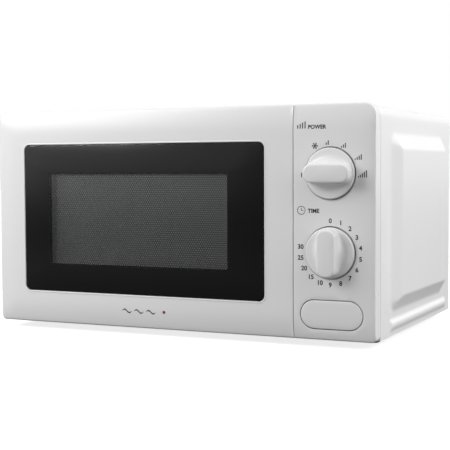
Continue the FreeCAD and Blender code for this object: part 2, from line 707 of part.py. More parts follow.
def control_unit(name, z, side, depth):
    """Sealed clockwork or switch body behind the bracket, with a bearing for the shaft."""
    y0 = unit_plane()
    body = block(knob_x - side / 2, knob_x + side / 2, y0, y0 + depth, z - side / 2, z + side / 2)
    body = fillet_where(body, 3.0, lambda box: box.YLength > depth - 0.1)
    ears = [block(knob_x - 4, knob_x + 4, y0, y0 + 1.5, z + s * side / 2 - 3, z + s * side / 2 + 3)
            for s in (-1, 1)]
    tabs = [block(knob_x - 16 + 8 * i, knob_x - 11 + 8 * i, y0 + depth, y0 + depth + 8,
                  z - 12, z - 11) for i in range(4)]
    bell = rod(V(knob_x + 4, y0 + depth, z + side / 4), Y, 6, side / 6)
    body = fuse(body, *ears, *tabs, bell)
    bore = rod(V(knob_x, y0 - 1, z), Y, 1 + shaft_seat + 1.3, shaft_radius + running_fit)
    save(name, cut(body, bore))


def lever_axis():
    return y_plate + 6.8, z_bottom + 45.5


def release_lever():
    """Lever behind the door button: pressing turns it and its rear arm lifts the latch hooks."""
    py, pz = lever_axis()
    x = latch_x()
    barrel = rod(V(x - 4, py, pz), X, button_x + 5 - x + 4, lever_barrel)
    contact = y_front + 15.5 + slip
    push = prism_x([(py - 3, pz - 1), (py + 1, pz - 12), (py, pz - 22), (contact, pz - 25),
                    (contact, pz - 32), (py - 2, pz - 33), (py + 5, pz - 22), (py + 5, pz - 1)],
                   button_x - 14, button_x + 4)
    hook_back = y_inner + 27
    lift_top = hook_heights()[0] - 4 - slip
    lift = prism_x([(py, pz - 3.0), (py, pz + 3.0), (py + 14, lift_top), (hook_back, lift_top),
                    (hook_back, lift_top - 3.7), (py + 8, pz - 4)], x - 4, x + 4)
    spring_arm = prism_x([(py, pz - 3.0), (py, pz + 2), (py + 10, pz + 2), (py + 20, pz + 2),
                          (py + 20, pz - 2), (py + 8, pz - 4)],
                         spring_x() - 3.5, spring_x() + 3.5)
    save("release_lever", fuse(barrel, push, lift, spring_arm))


def cheek_places():
    x = latch_x()
    return (x + 7.0, x + 23.0)


def spring_x():
    near, far = cheek_places()
    return (near + far) / 2 + 1.0


def latch_board():
    """Moulded board behind the latch slots: lever bearings, switch seats and the spring seat."""
    py, pz = lever_axis()
    y0, y1 = y_inner, y_inner + 28
    near, far = cheek_places()
    near_cheek = block(near, near + 2, y0, y1, z_bottom + 32, z_bottom + 212)
    far_cheek = block(far, far + 2, y0 + 2, y1, z_bottom + 40, z_bottom + 74)
    flange = block(near, near + 5, y0, y0 + 2, z_bottom + 32, z_bottom + 212)
    bridge = block(near, far + 2, y0 + 10, y1, z_bottom + 72, z_bottom + 74)
    holes = [rod(V(near - 1, py, pz), X, far - near + 4, lever_barrel + running_fit)]
    save("latch_board", cut(fuse(near_cheek, far_cheek, flange, bridge), *holes))


def lever_spring():
    _, pz = lever_axis()
    save("lever_spring", coil_spring(spring_x(), y_inner + 21, pz + 2, z_bottom + 72, 3.0, 0.45, 6))


def interlock_switches():
    """Three snap-action door switches on the latch board."""
    near = cheek_places()[0] + 2
    switches = []
    for height in (92.0, 110.0, 176.0):
        z = z_bottom + height
        case = block(near, near + 6.4, y_inner + 4, y_inner + 24, z, z + 10)
        button = rod(V(near + 3.2, y_inner + 9, z + 10), Z, 1.2, 1.3)
        tabs = [block(near + 2.9, near + 3.5, y_inner + 24, y_inner + 29, z + k, z + k + 3)
                for k in (1, 6)]
        switches.append(fuse(case, button, *tabs))
    save("interlock_switches", *switches)


# ---------------------------------------------------------------- turntable
def glass_tray():
    """Shallow pressed plate with a raised rim."""
    r, t, z = tray_radius, tray_thickness, tray_z
    profile = [(0, z), (r - 16, z), (r - 9, z + 1.5), (r, z + tray_rim - 2), (r, z + tray_rim),
               (r - 3, z + tray_rim), (r - 11, z + t + 1.5), (r - 17, z + t), (0, z + t)]
    wire = Part.makePolygon([V(tray_x + a, tray_y, b) for a, b in profile + profile[:1]])
    tray = Part.Face(wire).revolve(V(tray_x, tray_y, 0), Z, 360)
    tray = Part.Solid(tray) if tray.ShapeType == "Shell" else tray
    save("glass_tray", tray)


def turntable_coupler():
    """Driven hub under the tray, on the turntable motor's shaft."""
    x, y, floor = tray_x, tray_y, cavity["z0"]
    stem = rod(V(x, y, floor - 8), Z, 10, 3.5)
    hub = rod(V(x, y, floor + 1.5), Z, tray_z - floor - 1.5, 10.0)
    arms = []
    for k in range(3):
        arm = slab_z(x, x + 30, y - 4, y + 4, floor + 8, tray_z, 3.9)
        arms.append(turn_z(arm, 120 * k, x, y))
    save("turntable_coupler", fuse(stem, hub, *arms))


def roller_ring():
    """Ring with three stub axles for the rollers."""
    x, y = tray_x, tray_y
    inner, outer = roller_circle - 13, roller_circle - 6
    ring = cut(rod(V(x, y, roller_z - 4), Z, 8, outer), rod(V(x, y, roller_z - 5), Z, 10, inner))
    parts = []
    for k in range(3):
        axle = rod(V(x + outer - 1, y, roller_z), X, roller_circle + 8 - outer + 1, 1.5)
        cap = rod(V(x + roller_circle + 4.3, y, roller_z), X, 2.0, 3.0)
        boss = rod(V(x + outer - 2, y, roller_z), X, 3.7, 3.5)
        parts += [turn_z(p, 120 * k, x, y) for p in (axle, cap, boss)]
    save("roller_ring", fuse(ring, *parts))


def rollers():
    for k in range(3):
        wheel = rod(V(tray_x + roller_circle - 4, tray_y, roller_z), X, 8, roller_radius)
        wheel = wheel.makeFillet(1.0, [e for e in wheel.Edges if e.BoundBox.YLength > 3])
        wheel = cut(wheel, rod(V(tray_x + roller_circle - 6, tray_y, roller_z), X, 12,
                               1.5 + running_fit))
        save(f"roller_{k + 1}", turn_z(wheel, 120 * k, tray_x, tray_y))


def turntable_motor():
    """Flat synchronous motor under the cavity floor."""
    top = cavity["z0"] - chassis_sheet
    height = 14.0
    can = rod(V(tray_x, tray_y, top - height), Z, height, 25.0)
    can = fillet_where(can, 1.5, lambda box: box.ZMax < top - height + 0.01)
    ears = block(tray_x - 32, tray_x + 32, tray_y - 5, tray_y + 5, top - 1.5, top)
    bore = rod(V(tray_x, tray_y, top - 9), Z, 10, 3.5 + running_fit)
    save("turntable_motor", cut(fuse(can, ears), bore))


# ---------------------------------------------------------------- component bay
def magnetron_place():
    """Low corner of the magnetron's yoke."""
    return bay_left + 22.0, y_inner + magnetron_setback, antenna_height() - magnetron_size / 2


def waveguide():
    """Rectangular duct from the magnetron's antenna to the cavity inlet."""
    mx, my, mz = magnetron_place()
    y0, y1, z0, z1 = inlet_window()
    outer = block(bay_left, mx, my + 4, y1 + 8, z0 - 6, z1 + 6)
    inner = block(bay_left - 1, mx - 1, my + 5, y1 + 7, z0 - 5, z1 + 5)
    axis = V(mx - 3, my + magnetron_size / 2, (z0 + z1) / 2)
    save("waveguide", cut(outer, inner, rod(axis, X, 5, 12.0)))


def antenna_height():
    y0, y1, z0, z1 = inlet_window()
    return (z0 + z1) / 2


def magnetron():
    """Yoke, core with antenna, cooling fins, two ring magnets and the filter box."""
    mx, my, _ = magnetron_place()
    size, width = magnetron_size, 56.0
    cy, cz = my + size / 2, antenna_height()
    z0, z1 = cz - size / 2, cz + size / 2
    yoke = cut(block(mx, mx + width, my, my + size, z0, z1),
               block(mx + 2, mx + width - 2, my - 1, my + size + 1, z0 + 2, z1 - 2),
               rod(V(mx - 1, cy, cz), X, width + 2, 14.0))
    save("magnetron_yoke", yoke)
    core = fuse(rod(V(mx + 13, cy, cz), X, 30, 17.0), rod(V(mx - 12, cy, cz), X, 26, 7.5),
                rod(V(mx + 42, cy, cz), X, width - 38, 7.5))
    save("magnetron_core", core)
    fins = []
    for index in range(8):
        x = mx + 14.5 + index * 3.6
        fin = cut(block(x, x + 0.6, my + 3, my + size - 3, z0 + 2, z1 - 2),
                  rod(V(x - 1, cy, cz), X, 3, 17.0))
        fins.append(fin)
    save("magnetron_fins", *fins)
    magnets = [cut(rod(V(x, cy, cz), X, 10, 27.0), rod(V(x - 1, cy, cz), X, 12, 8.0))
               for x in (mx + 2, mx + width - 12)]
    save("magnetron_magnets", *magnets)
    box_x = mx + width
    shell = cut(block(box_x, box_x + 24, my + 10, my + size - 10, z0 + 8, z1 - 8),
                block(box_x + 1, box_x + 23, my + 11, my + size - 11, z0 + 9, z1 - 9),
                rod(V(box_x - 1, cy, cz), X, 3, 8.0))
    save("magnetron_filter_box", shell)


def transformer():
    """Shell-type core on its foot plate, with a primary and a secondary winding."""
    x0, x1 = bay_left + 26, bay_left + 110
    y0, y1 = y_inner + 78, y_inner + 138
    z0 = base_top + 2
    z1 = z0 + 70
    core = cut(block(x0, x1, y0, y1, z0, z1),
               block(x0 + 14, x0 + 28, y0 - 1, y1 + 1, z0 + 14, z1 - 14),
               block(x1 - 28, x1 - 14, y0 - 1, y1 + 1, z0 + 14, z1 - 14))
    foot = block(x0 - 5, x1 + 4, y0 - 6, y1 + 6, base_top, z0)
    save("transformer_core", fuse(core, foot))
    coils = []
    for low, high in ((z0 + 14.5, z0 + 33), (z0 + 37, z1 - 14.5)):
        coil = slab_z(x0 + 14.4, x1 - 14.4, y0 - 15, y1 + 15, low, high, 8.0)
        hole = block(x0 + 27.6, x1 - 27.6, y0 - 0.4, y1 + 0.4, low - 1, high + 1)
        coils.append(cut(coil, hole))
    save("transformer_windings", *coils)


def capacitor_place():
    return bay_left + 66.0, y_inner + 189.0


def capacitor_group():
    """Oval high-voltage capacitor, its clamp strap and the diode on its terminals."""
    cx, cy = capacitor_place()
    long, wide, height = 50.0, 30.0, 86.0
    can = slab_z(cx - long / 2, cx + long / 2, cy - wide / 2, cy + wide / 2, base_top,
                 base_top + height, wide / 2 - 0.01)
    top = base_top + height
    blades = [block(cx + s * 13 - 3, cx + s * 13 + 3, cy - 0.4, cy + 0.4, top, top + 7)
              for s in (-1, 1)]
    posts = [rod(V(cx + s * 13, cy, top), Z, 2, 5.0) for s in (-1, 1)]
    save("hv_capacitor", fuse(can, *posts, *blades))
    strap = slab_z(cx - long / 2 - 1, cx + long / 2 + 1, cy - wide / 2 - 1, cy + wide / 2 + 1,
                   base_top, base_top + 16, wide / 2 + 0.99)
    feet_tabs = block(cx + long / 2, cx + long / 2 + 13, cy - 7, cy + 7, base_top, base_top + 1)
    inside = slab_z(cx - long / 2, cx + long / 2, cy - wide / 2, cy + wide / 2, base_top - 1,
                    base_top + 17, wide / 2 - 0.01)
    save("capacitor_clamp", cut(fuse(strap, feet_tabs), inside))
    lead = rod(V(cx - 15, cy, top + 7.6), X, 30, 0.6)
    save("hv_diode", fuse(rod(V(cx - 7.5, cy, top + 7.6), X, 15, 3.5), lead))


def fan_group():
    """Shroud on the rear panel, motor on the shroud's bar, blade on the motor's shaft."""
    fx, fz = fan_centre()
    size = fan_radius + 5
    y1 = y_rear_inside
    y0 = y1 - 18
    box = slab_y(fx - size, fx + size, fz - size, fz + size, y0, y1, 10.0)
    ring = cut(box, rod(V(fx, y0 - 1, fz), Y, 20, fan_radius + 2))
    bar = block(fx - size + 1, fx + size - 1, y0, y0 + 2, fz - 6, fz + 6)
    save("fan_shroud", cut(fuse(ring, bar), rod(V(fx, y0 - 1, fz), Y, 4, 5.0)))
    stator = block(fx - 20, fx + 20, y0 - 20, y0 - 4, fz - 22, fz + 18)
    coil = block(fx - 12, fx + 12, y0 - 26, y0 - 20, fz - 21, fz - 5)
    bearing = rod(V(fx, y0 - 4, fz), Y, 4, 8.0)
    cap = rod(V(fx, y0 - 24, fz), Y, 5, 8.0)
    bore = rod(V(fx, y0 - 23, fz), Y, 30, 1.6 + running_fit)
    save("fan_motor", cut(fuse(stator, coil, bearing, cap), bore))
    save("fan_shaft", rod(V(fx, y0 - 22, fz), Y, 35, 1.6))
    hub = rod(V(fx, y0 + 4, fz), Y, 10, 9.0)
    blades = []
    for k in range(5):
        blade = block(fx + 7, fx + fan_radius - 1, y0 + 8.2, y0 + 9.8, fz - 9, fz + 9)
        blade.rotate(V(fx, y0 + 9, fz), X, 22)
        blade.rotate(V(fx, y0, fz), Y, 72 * k)
        blades.append(blade)
    save("fan_blade", cut(fuse(hub, *blades), rod(V(fx, y0, fz), Y, 20, 1.6)))


def lamp_and_duct():
    """Air duct to the cavity's vent holes, and the lamp whose bulb hangs through the duct's top."""
    x, y = bay_left + 11, y_inner + vent_start + 18
    x0, x1 = bay_left, bay_left + 22
    y0, y1 = y_inner + vent_start - 8, y_inner + magnetron_setback + 2
    z0, z1 = cavity["z1"] - 68, cavity["z1"] - 14
    bulb_radius, cap_radius = 8.0, 5.0
    shell = block(x0, x1, y0, y1, z0, z1)
    inside = block(x0 - 1, x1 - 1.6, y0 + 1.6, y1 + 1, z0 + 1.6, z1 - 1.6)
    save("air_duct", cut(shell, inside, rod(V(x, y, z1 - 4), Z, 6, cap_radius + slip)))
    holder = fuse(block(x - 9, x + 9, y - 8, y + 8, z1, z1 + 12),
                  block(bay_left, x, y - 8, y + 8, z1 + 4, z1 + 8))
    save("lamp_holder", cut(holder, rod(V(x, y, z1 - 1), Z, 9, cap_radius)))
    bulb = fuse(rod(V(x, y, z1 - 12), Z, 20, cap_radius),
                Part.makeSphere(bulb_radius, V(x, y, z1 - 16)))
    save("cavity_lamp", bulb)


def thermal_cutouts():
    """One cut-out on the cavity wall and one on the magnetron."""
    solids = []
    mx, my, _ = magnetron_place()
    z1 = antenna_height() + magnetron_size / 2
    for start, direction in ((V(bay_left, y_inner + 230, z_bottom + 60), X),
                             (V(mx + 28, my + 40, z1), Z)):
        plate = rod(start, direction, 1.2, 11.0)
        body = rod(start + direction * 1.2, direction, 8.0, 8.0)
        solids.append(fuse(plate, body))
    save("thermal_cutouts", *solids)


def line_filter():
    """Mains filter board on the base plate, with its choke, capacitor and fuse."""
    x0, y0 = bay_left + 24, y_rear_inside - 46
    board = block(x0, x0 + 86, y0, y0 + 38, base_top + 5, base_top + 6.6)
    posts = [rod(V(x0 + u, y0 + v, base_top), Z, 5, 2.5) for u in (5, 81) for v in (5, 33)]
    top = base_top + 6.6
    choke = cut(rod(V(x0 + 22, y0 + 19, top), Z, 12, 13), rod(V(x0 + 22, y0 + 19, top + 2), Z, 11, 5))
    cap = block(x0 + 42, x0 + 60, y0 + 6, y0 + 30, top, top + 15)
    fuse_body = rod(V(x0 + 72, y0 + 7, top + 3.2), Y, 22, 3.5)
    save("line_filter_board", fuse(board, *posts, choke, cap, fuse_body))


def main():
    outer_cabinet()
    screws()
    rear_panel()
    rear_spacers()
    cord_gland()
    base_plate()
    feet()
    front_plate()
    cavity_shell()
    waveguide_cover()
    door_frame()
    door_glass()
    choke_frame()
    perforated_screen()
    inner_window()
    choke_cover()
    latch_hooks()
    latch_spring()
    hinge_pins()
    hinge_brackets()
    control_panel()
    door_button()
    knob("timer_knob", timer_z, False)
    knob("power_knob", power_z, True)
    shaft("timer_shaft", timer_z)
    shaft("power_shaft", power_z)
    timer_bracket()
    control_unit("timer_unit", timer_z, 50.0, 34.0)
    control_unit("power_selector", power_z, 44.0, 26.0)
    release_lever()
    latch_board()
    lever_spring()
    interlock_switches()
    glass_tray()
    turntable_coupler()
    roller_ring()
    rollers()
    turntable_motor()
    waveguide()
    magnetron()
    transformer()
    capacitor_group()
    fan_group()
    lamp_and_duct()
    thermal_cutouts()
    line_filter()


main()
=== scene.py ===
"""Looks of a countertop microwave oven, built as separate pieces around its fixed CAD frame.

Shapes are worked out in millimetres, in the frame's axes: +X to the oven's right seen from the
front, +Y to the back, +Z up. new_piece() turns them into metres.
"""

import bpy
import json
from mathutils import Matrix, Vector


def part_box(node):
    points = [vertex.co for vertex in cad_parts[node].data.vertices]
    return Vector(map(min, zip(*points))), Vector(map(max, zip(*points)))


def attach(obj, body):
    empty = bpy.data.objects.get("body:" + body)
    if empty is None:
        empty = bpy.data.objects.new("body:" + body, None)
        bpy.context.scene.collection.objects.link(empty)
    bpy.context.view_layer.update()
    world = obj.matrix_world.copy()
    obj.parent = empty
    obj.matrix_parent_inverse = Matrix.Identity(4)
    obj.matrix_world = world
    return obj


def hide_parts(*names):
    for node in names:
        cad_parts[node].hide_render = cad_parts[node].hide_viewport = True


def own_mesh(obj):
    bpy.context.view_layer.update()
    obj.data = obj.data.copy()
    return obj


bl_info = {
    "name": "Microwave Oven Looks",
    "version": (1, 0, 0),
    "blender": (4, 5, 0),
    "location": "3D View > Sidebar > Oven",
    "description": "Builds the visible pieces, finishes and studio of a countertop microwave oven",
    "category": "Object",
}

import json
import math

import bmesh
import bpy
from bpy.props import FloatProperty, FloatVectorProperty, PointerProperty
from mathutils import Matrix, Vector
from mathutils.geometry import delaunay_2d_cdt

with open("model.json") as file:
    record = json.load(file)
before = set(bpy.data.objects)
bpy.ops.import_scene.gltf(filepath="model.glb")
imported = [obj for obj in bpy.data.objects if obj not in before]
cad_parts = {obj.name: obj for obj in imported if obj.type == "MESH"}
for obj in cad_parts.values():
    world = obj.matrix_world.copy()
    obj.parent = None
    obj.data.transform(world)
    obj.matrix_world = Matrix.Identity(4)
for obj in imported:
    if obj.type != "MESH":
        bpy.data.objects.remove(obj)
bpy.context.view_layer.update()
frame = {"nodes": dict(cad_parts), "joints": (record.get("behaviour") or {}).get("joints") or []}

MM = 0.001               # metres in a millimetre


# ------------------------------------------------------------------ places read from the frame
def box_mm(node):
    """Lowest and highest corner of a CAD node, in millimetres."""
    low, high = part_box(node)
    return tuple(v / MM for v in low), tuple(v / MM for v in high)


def joint_mm(name):
    """A hinge's place, in millimetres."""
    joint = next(j for j in frame["joints"] if j["name"] == name)
    return tuple(v / MM for v in joint["pos_m"])


DOOR, PANEL = box_mm("door_frame"), box_mm("control_panel")
GLASS, SCREEN = box_mm("door_glass"), box_mm("perforated_screen")
BUTTON, CABINET = box_mm("door_button"), box_mm("outer_cabinet")
FRONT = DOOR[0][1]
LEFT, RIGHT, LOW, TOP = DOOR[0][0], PANEL[1][0], DOOR[0][2], DOOR[1][2]
DIALS = {"power": joint_mm("power_turn"), "timer": joint_mm("timer_turn")}
HINGE = joint_mm("door_hinge")
BUTTON_CENTRE = ((BUTTON[0][0] + BUTTON[1][0]) / 2, (BUTTON[0][2] + BUTTON[1][2]) / 2)
SQUARE_CORNER = 0.9      # corners beside the gap between door and panel
INK = (-0.05, 0.12)      # ink stands this far out of the face, and reaches this far into it


def linear(colour):
    """Linear RGB of an sRGB hex colour."""
    channels = [int(colour[i:i + 2], 16) / 255 for i in (1, 3, 5)]
    return tuple(c / 12.92 if c <= 0.04045 else ((c + 0.055) / 1.055) ** 2.4 for c in channels)


def length(name, description, millimetres):
    """A length that a user may change, kept in metres."""
    return FloatProperty(name=name, description=description, default=millimetres * MM,
                         unit="LENGTH", subtype="DISTANCE", precision=5)


def paint(name, description, colour):
    """A colour that a user may change."""
    return FloatVectorProperty(name=name, description=description, default=linear(colour),
                               size=3, min=0, max=1, subtype="COLOR")


# ------------------------------------------------------------------ settings
class OvenFront(bpy.types.PropertyGroup):
    """Sizes of the moulded door and control panel."""
    crown_drop: length("Crown drop", "How far the face falls back at its long edges", 3.0)
    crown_margin: length("Crown margin", "Width of the curved band along those edges", 26.0)
    side_drop: length("Side drop", "How far the face falls back at the right edge", 1.0)
    side_margin: length("Side margin", "Width of the curved band at the right edge", 14.0)
    edge_radius: length("Edge radius", "Rounding from the face to the outer sides", 2.5)
    side_radius: length("Side radius", "Rounding from the panel to its right side", 1.4)
    gap_radius: length("Gap radius", "Rounding beside the gap between door and panel", 0.5)
    wall: length("Wall", "Thickness of the moulded walls", 2.5)
    bead_width: length("Bead width", "Raised bead around the door glass", 1.6)
    bead_height: length("Bead height", "How far that bead stands up", 0.45)
    door_corner: length("Door corner", "Upper corner radius of the door", 10.0)
    panel_corner: length("Panel corner", "Upper corner radius of the control panel", 12.0)
    low_corner: length("Lower corner", "Radius of the lower corners of door and panel", 5.0)
    grid: length("Mesh step", "Spacing of mesh points on the face", 4.0)


class OvenWindow(bpy.types.PropertyGroup):
    """Sizes of the glass, its print and the perforated screen."""
    corner: length("Glass corner", "Corner radius of the pane", 6.3)
    edge: length("Glass edge", "Ground bevel around the pane", 1.1)
    print_side: length("Side border", "Printed border at the left", 34.0)
    print_far_side: length("Far border", "Printed border at the right", 41.8)
    print_low: length("Lower border", "Printed border below", 30.7)
    print_high: length("Upper border", "Printed border above", 32.5)
    print_corner: length("Border corner", "Corner radius of the clear area", 1.2)
    pitch: length("Hole pitch", "Distance between holes of the screen", 2.6)
    hole: length("Hole radius", "Radius of the screen's holes", 0.9)


class OvenDials(bpy.types.PropertyGroup):
    """Sizes of the two knobs and the door button."""
    radius: length("Knob radius", "Radius of the skirt", 25.0)
    rim: length("Rim", "How far the rim stands out of the panel", 3.5)
    reach: length("Reach", "How far the grip stands out of the panel", 16.0)
    grip_length: length("Grip length", "Length of the grip bar", 46.6)
    grip_width: length("Grip width", "Width of the grip bar", 18.6)
    well_gap: length("Well gap", "Gap between knob and panel", 1.2)
    well_depth: length("Well depth", "Depth of the knob's well", 7.0)
    button_length: length("Button length", "Length of the door button", 64.0)
    button_height: length("Button height", "Height of the door button", 28.0)
    button_gap: length("Button gap", "Gap around the door button", 0.8)


class OvenCabinet(bpy.types.PropertyGroup):
    """Sizes of the pressed steel wrap."""
    corner: length("Top corner", "Radius of the bends along the top", 11.0)
    sheet: length("Sheet", "Thickness of the steel", 1.0)
    flange: length("Rear flange", "Width of the flange at the back", 9.0)
    seam: length("Seam", "Gap between the wrap and the front mouldings", 0.5)
    plateau_raise: length("Side panel", "How far the pressed side panel stands out", 8.5)
    plateau_bevel: length("Side bevel", "Width of its sloping edge", 15.0)
    rib_raise: length("Rib", "How far the rib below it stands out", 2.2)
    rib_bevel: length("Rib bevel", "Width of the rib's sloping edge", 4.0)


class OvenColours(bpy.types.PropertyGroup):
    """Colours of the visible finishes."""
    moulding: paint("Moulding", "White moulded door and panel", "#F0F0F0")
    cabinet: paint("Cabinet", "White powder coat", "#F2F2F2")
    border: paint("Border", "Black ceramic print on the glass", "#050506")
    screen: paint("Screen", "Painted screen behind the glass", "#343333")
    legend: paint("Legend", "Printed figures", "#1B1B1D")
    dot: paint("Mark dot", "Dot of the printed mark", "#B4232E")
    enamel: paint("Enamel", "Light grey cavity enamel", "#D9D9D6")


class OvenStudio(bpy.types.PropertyGroup):
    """Camera and light."""
    eye: FloatVectorProperty(name="Camera place", description="Where the camera stands",
                             default=(0.5404, -1.1616, 0.178), size=3, subtype="TRANSLATION")
    yaw: FloatProperty(name="Yaw", description="Turn of the camera to the left",
                       default=math.radians(25.22), subtype="ANGLE")
    pitch: FloatProperty(name="Pitch", description="Tilt of the camera upwards",
                         default=math.radians(-2.966), subtype="ANGLE")
    roll: FloatProperty(name="Roll", description="Roll of the camera",
                        default=math.radians(-0.25), subtype="ANGLE")
    lens: FloatProperty(name="Lens", description="Focal length on a 36 mm sensor",
                        default=88.63, subtype="DISTANCE_CAMERA")
    ambient: FloatProperty(name="Ambient", description="Even light from all round",
                           default=0.24, min=0)
    overhead: FloatProperty(name="Overhead", description="Light from above", default=0.2, min=0)
    left: FloatProperty(name="Left", description="Light from the left, seen in the glass",
                        default=1.0, min=0)
    right: FloatProperty(name="Right", description="Light from the right", default=3.1, min=0)
    back: FloatProperty(name="Back", description="Light from behind, for the grazing shine",
                        default=0.8, min=0)
    key: FloatProperty(name="Key box", description="Power of the soft box at the upper left",
                       default=11.8, min=0, unit="POWER")


# ------------------------------------------------------------------ mesh building
class Shell:
    """Points in millimetres and faces of one piece, built row by row."""

    def __init__(self):
        self.points, self.faces = [], []

    def row(self, points):
        first = len(self.points)
        self.points.extend(tuple(p) for p in points)
        return list(range(first, len(self.points)))

    def band(self, one, two, closed=True):
        """Quads between two rows with the same number of points."""
        count = len(one)
        for i in range(count if closed else count - 1):
            j = (i + 1) % count
            self.faces.append((one[i], one[j], two[j], two[i]))

    def skin(self, rows, closed=True):
        """Bands between rows, one after the other."""
        for one, two in zip(rows, rows[1:]):
            self.band(one, two, closed)

    def level(self, places, depth):
        """A row of (x, z) places at a depth behind the front. Anything after x and z is ignored."""
        return self.row([(x, FRONT + depth, z) for x, z, *_ in places])

    def sunk(self, places, sink=0.0):
        """A row of (x, z) places, sunk below the crowned face."""
        return self.row([(x, front_face(x, z) + sink, z) for x, z, *_ in places])

    def sheet(self, rim, holes=(), step=None, height=None):
        """Fills a flat or gently curved face between its rim and its holes. Rows are given as
        point numbers; height(x, z) places the points added inside, at every step."""
        loops = [rim, *holes]
        numbers = [n for loop in loops for n in loop]
        flat = [Vector((self.points[n][0], self.points[n][2])) for n in numbers]
        edges, start = [], 0
        for loop in loops:
            edges += [(start + i, start + (i + 1) % len(loop)) for i in range(len(loop))]
            start += len(loop)
        corners = [[(self.points[n][0], self.points[n][2]) for n in loop] for loop in loops]
        if step:
            xs, zs = [p[0] for p in corners[0]], [p[1] for p in corners[0]]
            across = max(1, round((max(xs) - min(xs)) / step))
            up = max(1, round((max(zs) - min(zs)) / step))
            for i in range(1, across):
                x = min(xs) + (max(xs) - min(xs)) * i / across
                for j in range(1, up):
                    z = min(zs) + (max(zs) - min(zs)) * j / up
                    if within(x, z, corners) and clear_of(x, z, flat[:start], 0.45 * step):
                        numbers.append(self.row([(x, height(x, z), z)])[0])
                        flat.append(Vector((x, z)))
        made, _, faces, origin, _, _ = delaunay_2d_cdt(flat, edges, [], 0, 1e-6)
        for face in faces:
            x = sum(made[v].x for v in face) / len(face)
            z = sum(made[v].y for v in face) / len(face)
            if within(x, z, corners):
                self.faces.append(tuple(numbers[origin[v][0]] for v in face))

    def box(self, low, high):
        """A closed box, as one more island."""
        (x0, y0, z0), (x1, y1, z1) = low, high
        floor = self.row([(x0, y0, z0), (x1, y0, z0), (x1, y1, z0), (x0, y1, z0)])
        roof = self.row([(x0, y0, z1), (x1, y0, z1), (x1, y1, z1), (x0, y1, z1)])
        self.band(floor, roof)
        self.faces += [tuple(floor), tuple(roof)]

    def rod(self, centre, radius, low, high, sides=32):
        """A closed upright cylinder, as one more island."""
        rows = [self.row([(x, y, z) for x, y in ring(centre, radius, sides)])
                for z in (low, high)]
        self.band(*rows)
        self.faces += [tuple(rows[0]), tuple(rows[1])]


def turns(count):
    """Angles of a full turn, in equal steps."""
    return [2 * math.pi * i / count for i in range(count)]


def within(x, z, loops):
    """Even-odd test of a point against closed loops."""
    inside = False
    for loop in loops:
        x0, z0 = loop[-1]
        for x1, z1 in loop:
            if (z0 > z) != (z1 > z) and x < x0 + (z - z0) * (x1 - x0) / (z1 - z0):
                inside = not inside
            x0, z0 = x1, z1
    return inside


def clear_of(x, z, points, gap):
    """Whether a place keeps a gap to all the points."""
    return all(abs(p.x - x) > gap or abs(p.y - z) > gap for p in points)


def new_piece(name, shell, body, slot, material, replaces=(), soften=32.0, welded=False):
    """Makes the mesh of a shell, with outward faces, and puts it on its CAD body."""
    mesh = bpy.data.meshes.new(name)
    mesh.from_pydata([[v * MM for v in p] for p in shell.points], [], shell.faces)
    work = bmesh.new()
    work.from_mesh(mesh)
    if welded:
        bmesh.ops.remove_doubles(work, verts=work.verts, dist=0.002 * MM)
    bmesh.ops.recalc_face_normals(work, faces=work.faces)
    work.to_mesh(mesh)
    work.free()
    piece = bpy.data.objects.new(name, mesh)
    bpy.context.scene.collection.objects.link(piece)
    if material:
        mesh.materials.append(material)
    if soften is not None:
        smooth(piece, soften)
    if body:
        place(piece, body, slot, *replaces)
    return piece


def smooth(piece, degrees):
    """Smooth shading with sharp edges past an angle."""
    piece.data.shade_smooth()
    piece.data.set_sharp_from_angle(angle=math.radians(degrees))


def carve(piece, shell, operation="DIFFERENCE"):
    """Cuts a shell out of a piece, or joins it on, before it rides on its body."""
    tool = new_piece(piece.name + "_tool", shell, None, None, None, soften=None)
    change = piece.modifiers.new("carve", "BOOLEAN")
    change.operation, change.solver, change.object = operation, "EXACT", tool
    bake_modifiers(piece)
    bpy.data.objects.remove(tool)


def bake_modifiers(piece):
    """Turns a piece's modifiers into mesh."""
    graph = bpy.context.evaluated_depsgraph_get()
    made = bpy.data.meshes.new_from_object(piece.evaluated_get(graph))
    piece.modifiers.clear()
    piece.data = made


def place(piece, body, slot, *replaces):
    """Puts a finished piece on its CAD body, in the place of CAD nodes."""
    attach(piece, body)
    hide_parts(*replaces)


# ------------------------------------------------------------------ outlines
def outline(x0, x1, z0, z1, radii, insets=(0, 0, 0, 0), step=5.0, arc=8):
    """Rounded rectangle from its lower left corner, anticlockwise from the front. Radii are of the
    lower left, lower right, upper right and upper left corners, and insets move the left, lower,
    right and upper side in. Returns (x, z, weight of each side) for every point; their number
    doesn't depend on the insets."""
    left, low, right, high = insets
    counts = [max(1, round((x1 - x0) / step)), max(1, round((z1 - z0) / step))] * 2
    a, b, c, d = x0 + left, x1 - right, z0 + low, z1 - high
    least = 0.15
    r = [max(radius - min(one, two), least) for radius, one, two in
         zip(radii, (left, low, right, high), (low, right, high, left))]
    centres = [(a + r[0], c + r[0]), (b - r[1], c + r[1]),
               (b - r[2], d - r[2]), (a + r[3], d - r[3])]
    points = []
    for k in range(4):
        sides = (k, (k + 1) % 4)     # sides are left, lower, right, upper
        begin = math.pi + k * math.pi / 2
        for i in range(arc + 1):
            t = i / arc
            angle = begin + t * math.pi / 2
            weights = [0.0] * 4
            weights[sides[0]] += 1 - t
            weights[sides[1]] += t
            points.append((centres[k][0] + r[k] * math.cos(angle),
                           centres[k][1] + r[k] * math.sin(angle), weights))
        here = points[-1]
        n = (k + 1) % 4
        angle = begin + math.pi / 2
        there = (centres[n][0] + r[n] * math.cos(angle), centres[n][1] + r[n] * math.sin(angle))
        for i in range(1, counts[k]):
            t = i / counts[k]
            points.append((here[0] + (there[0] - here[0]) * t,
                           here[1] + (there[1] - here[1]) * t, here[2]))
    return points


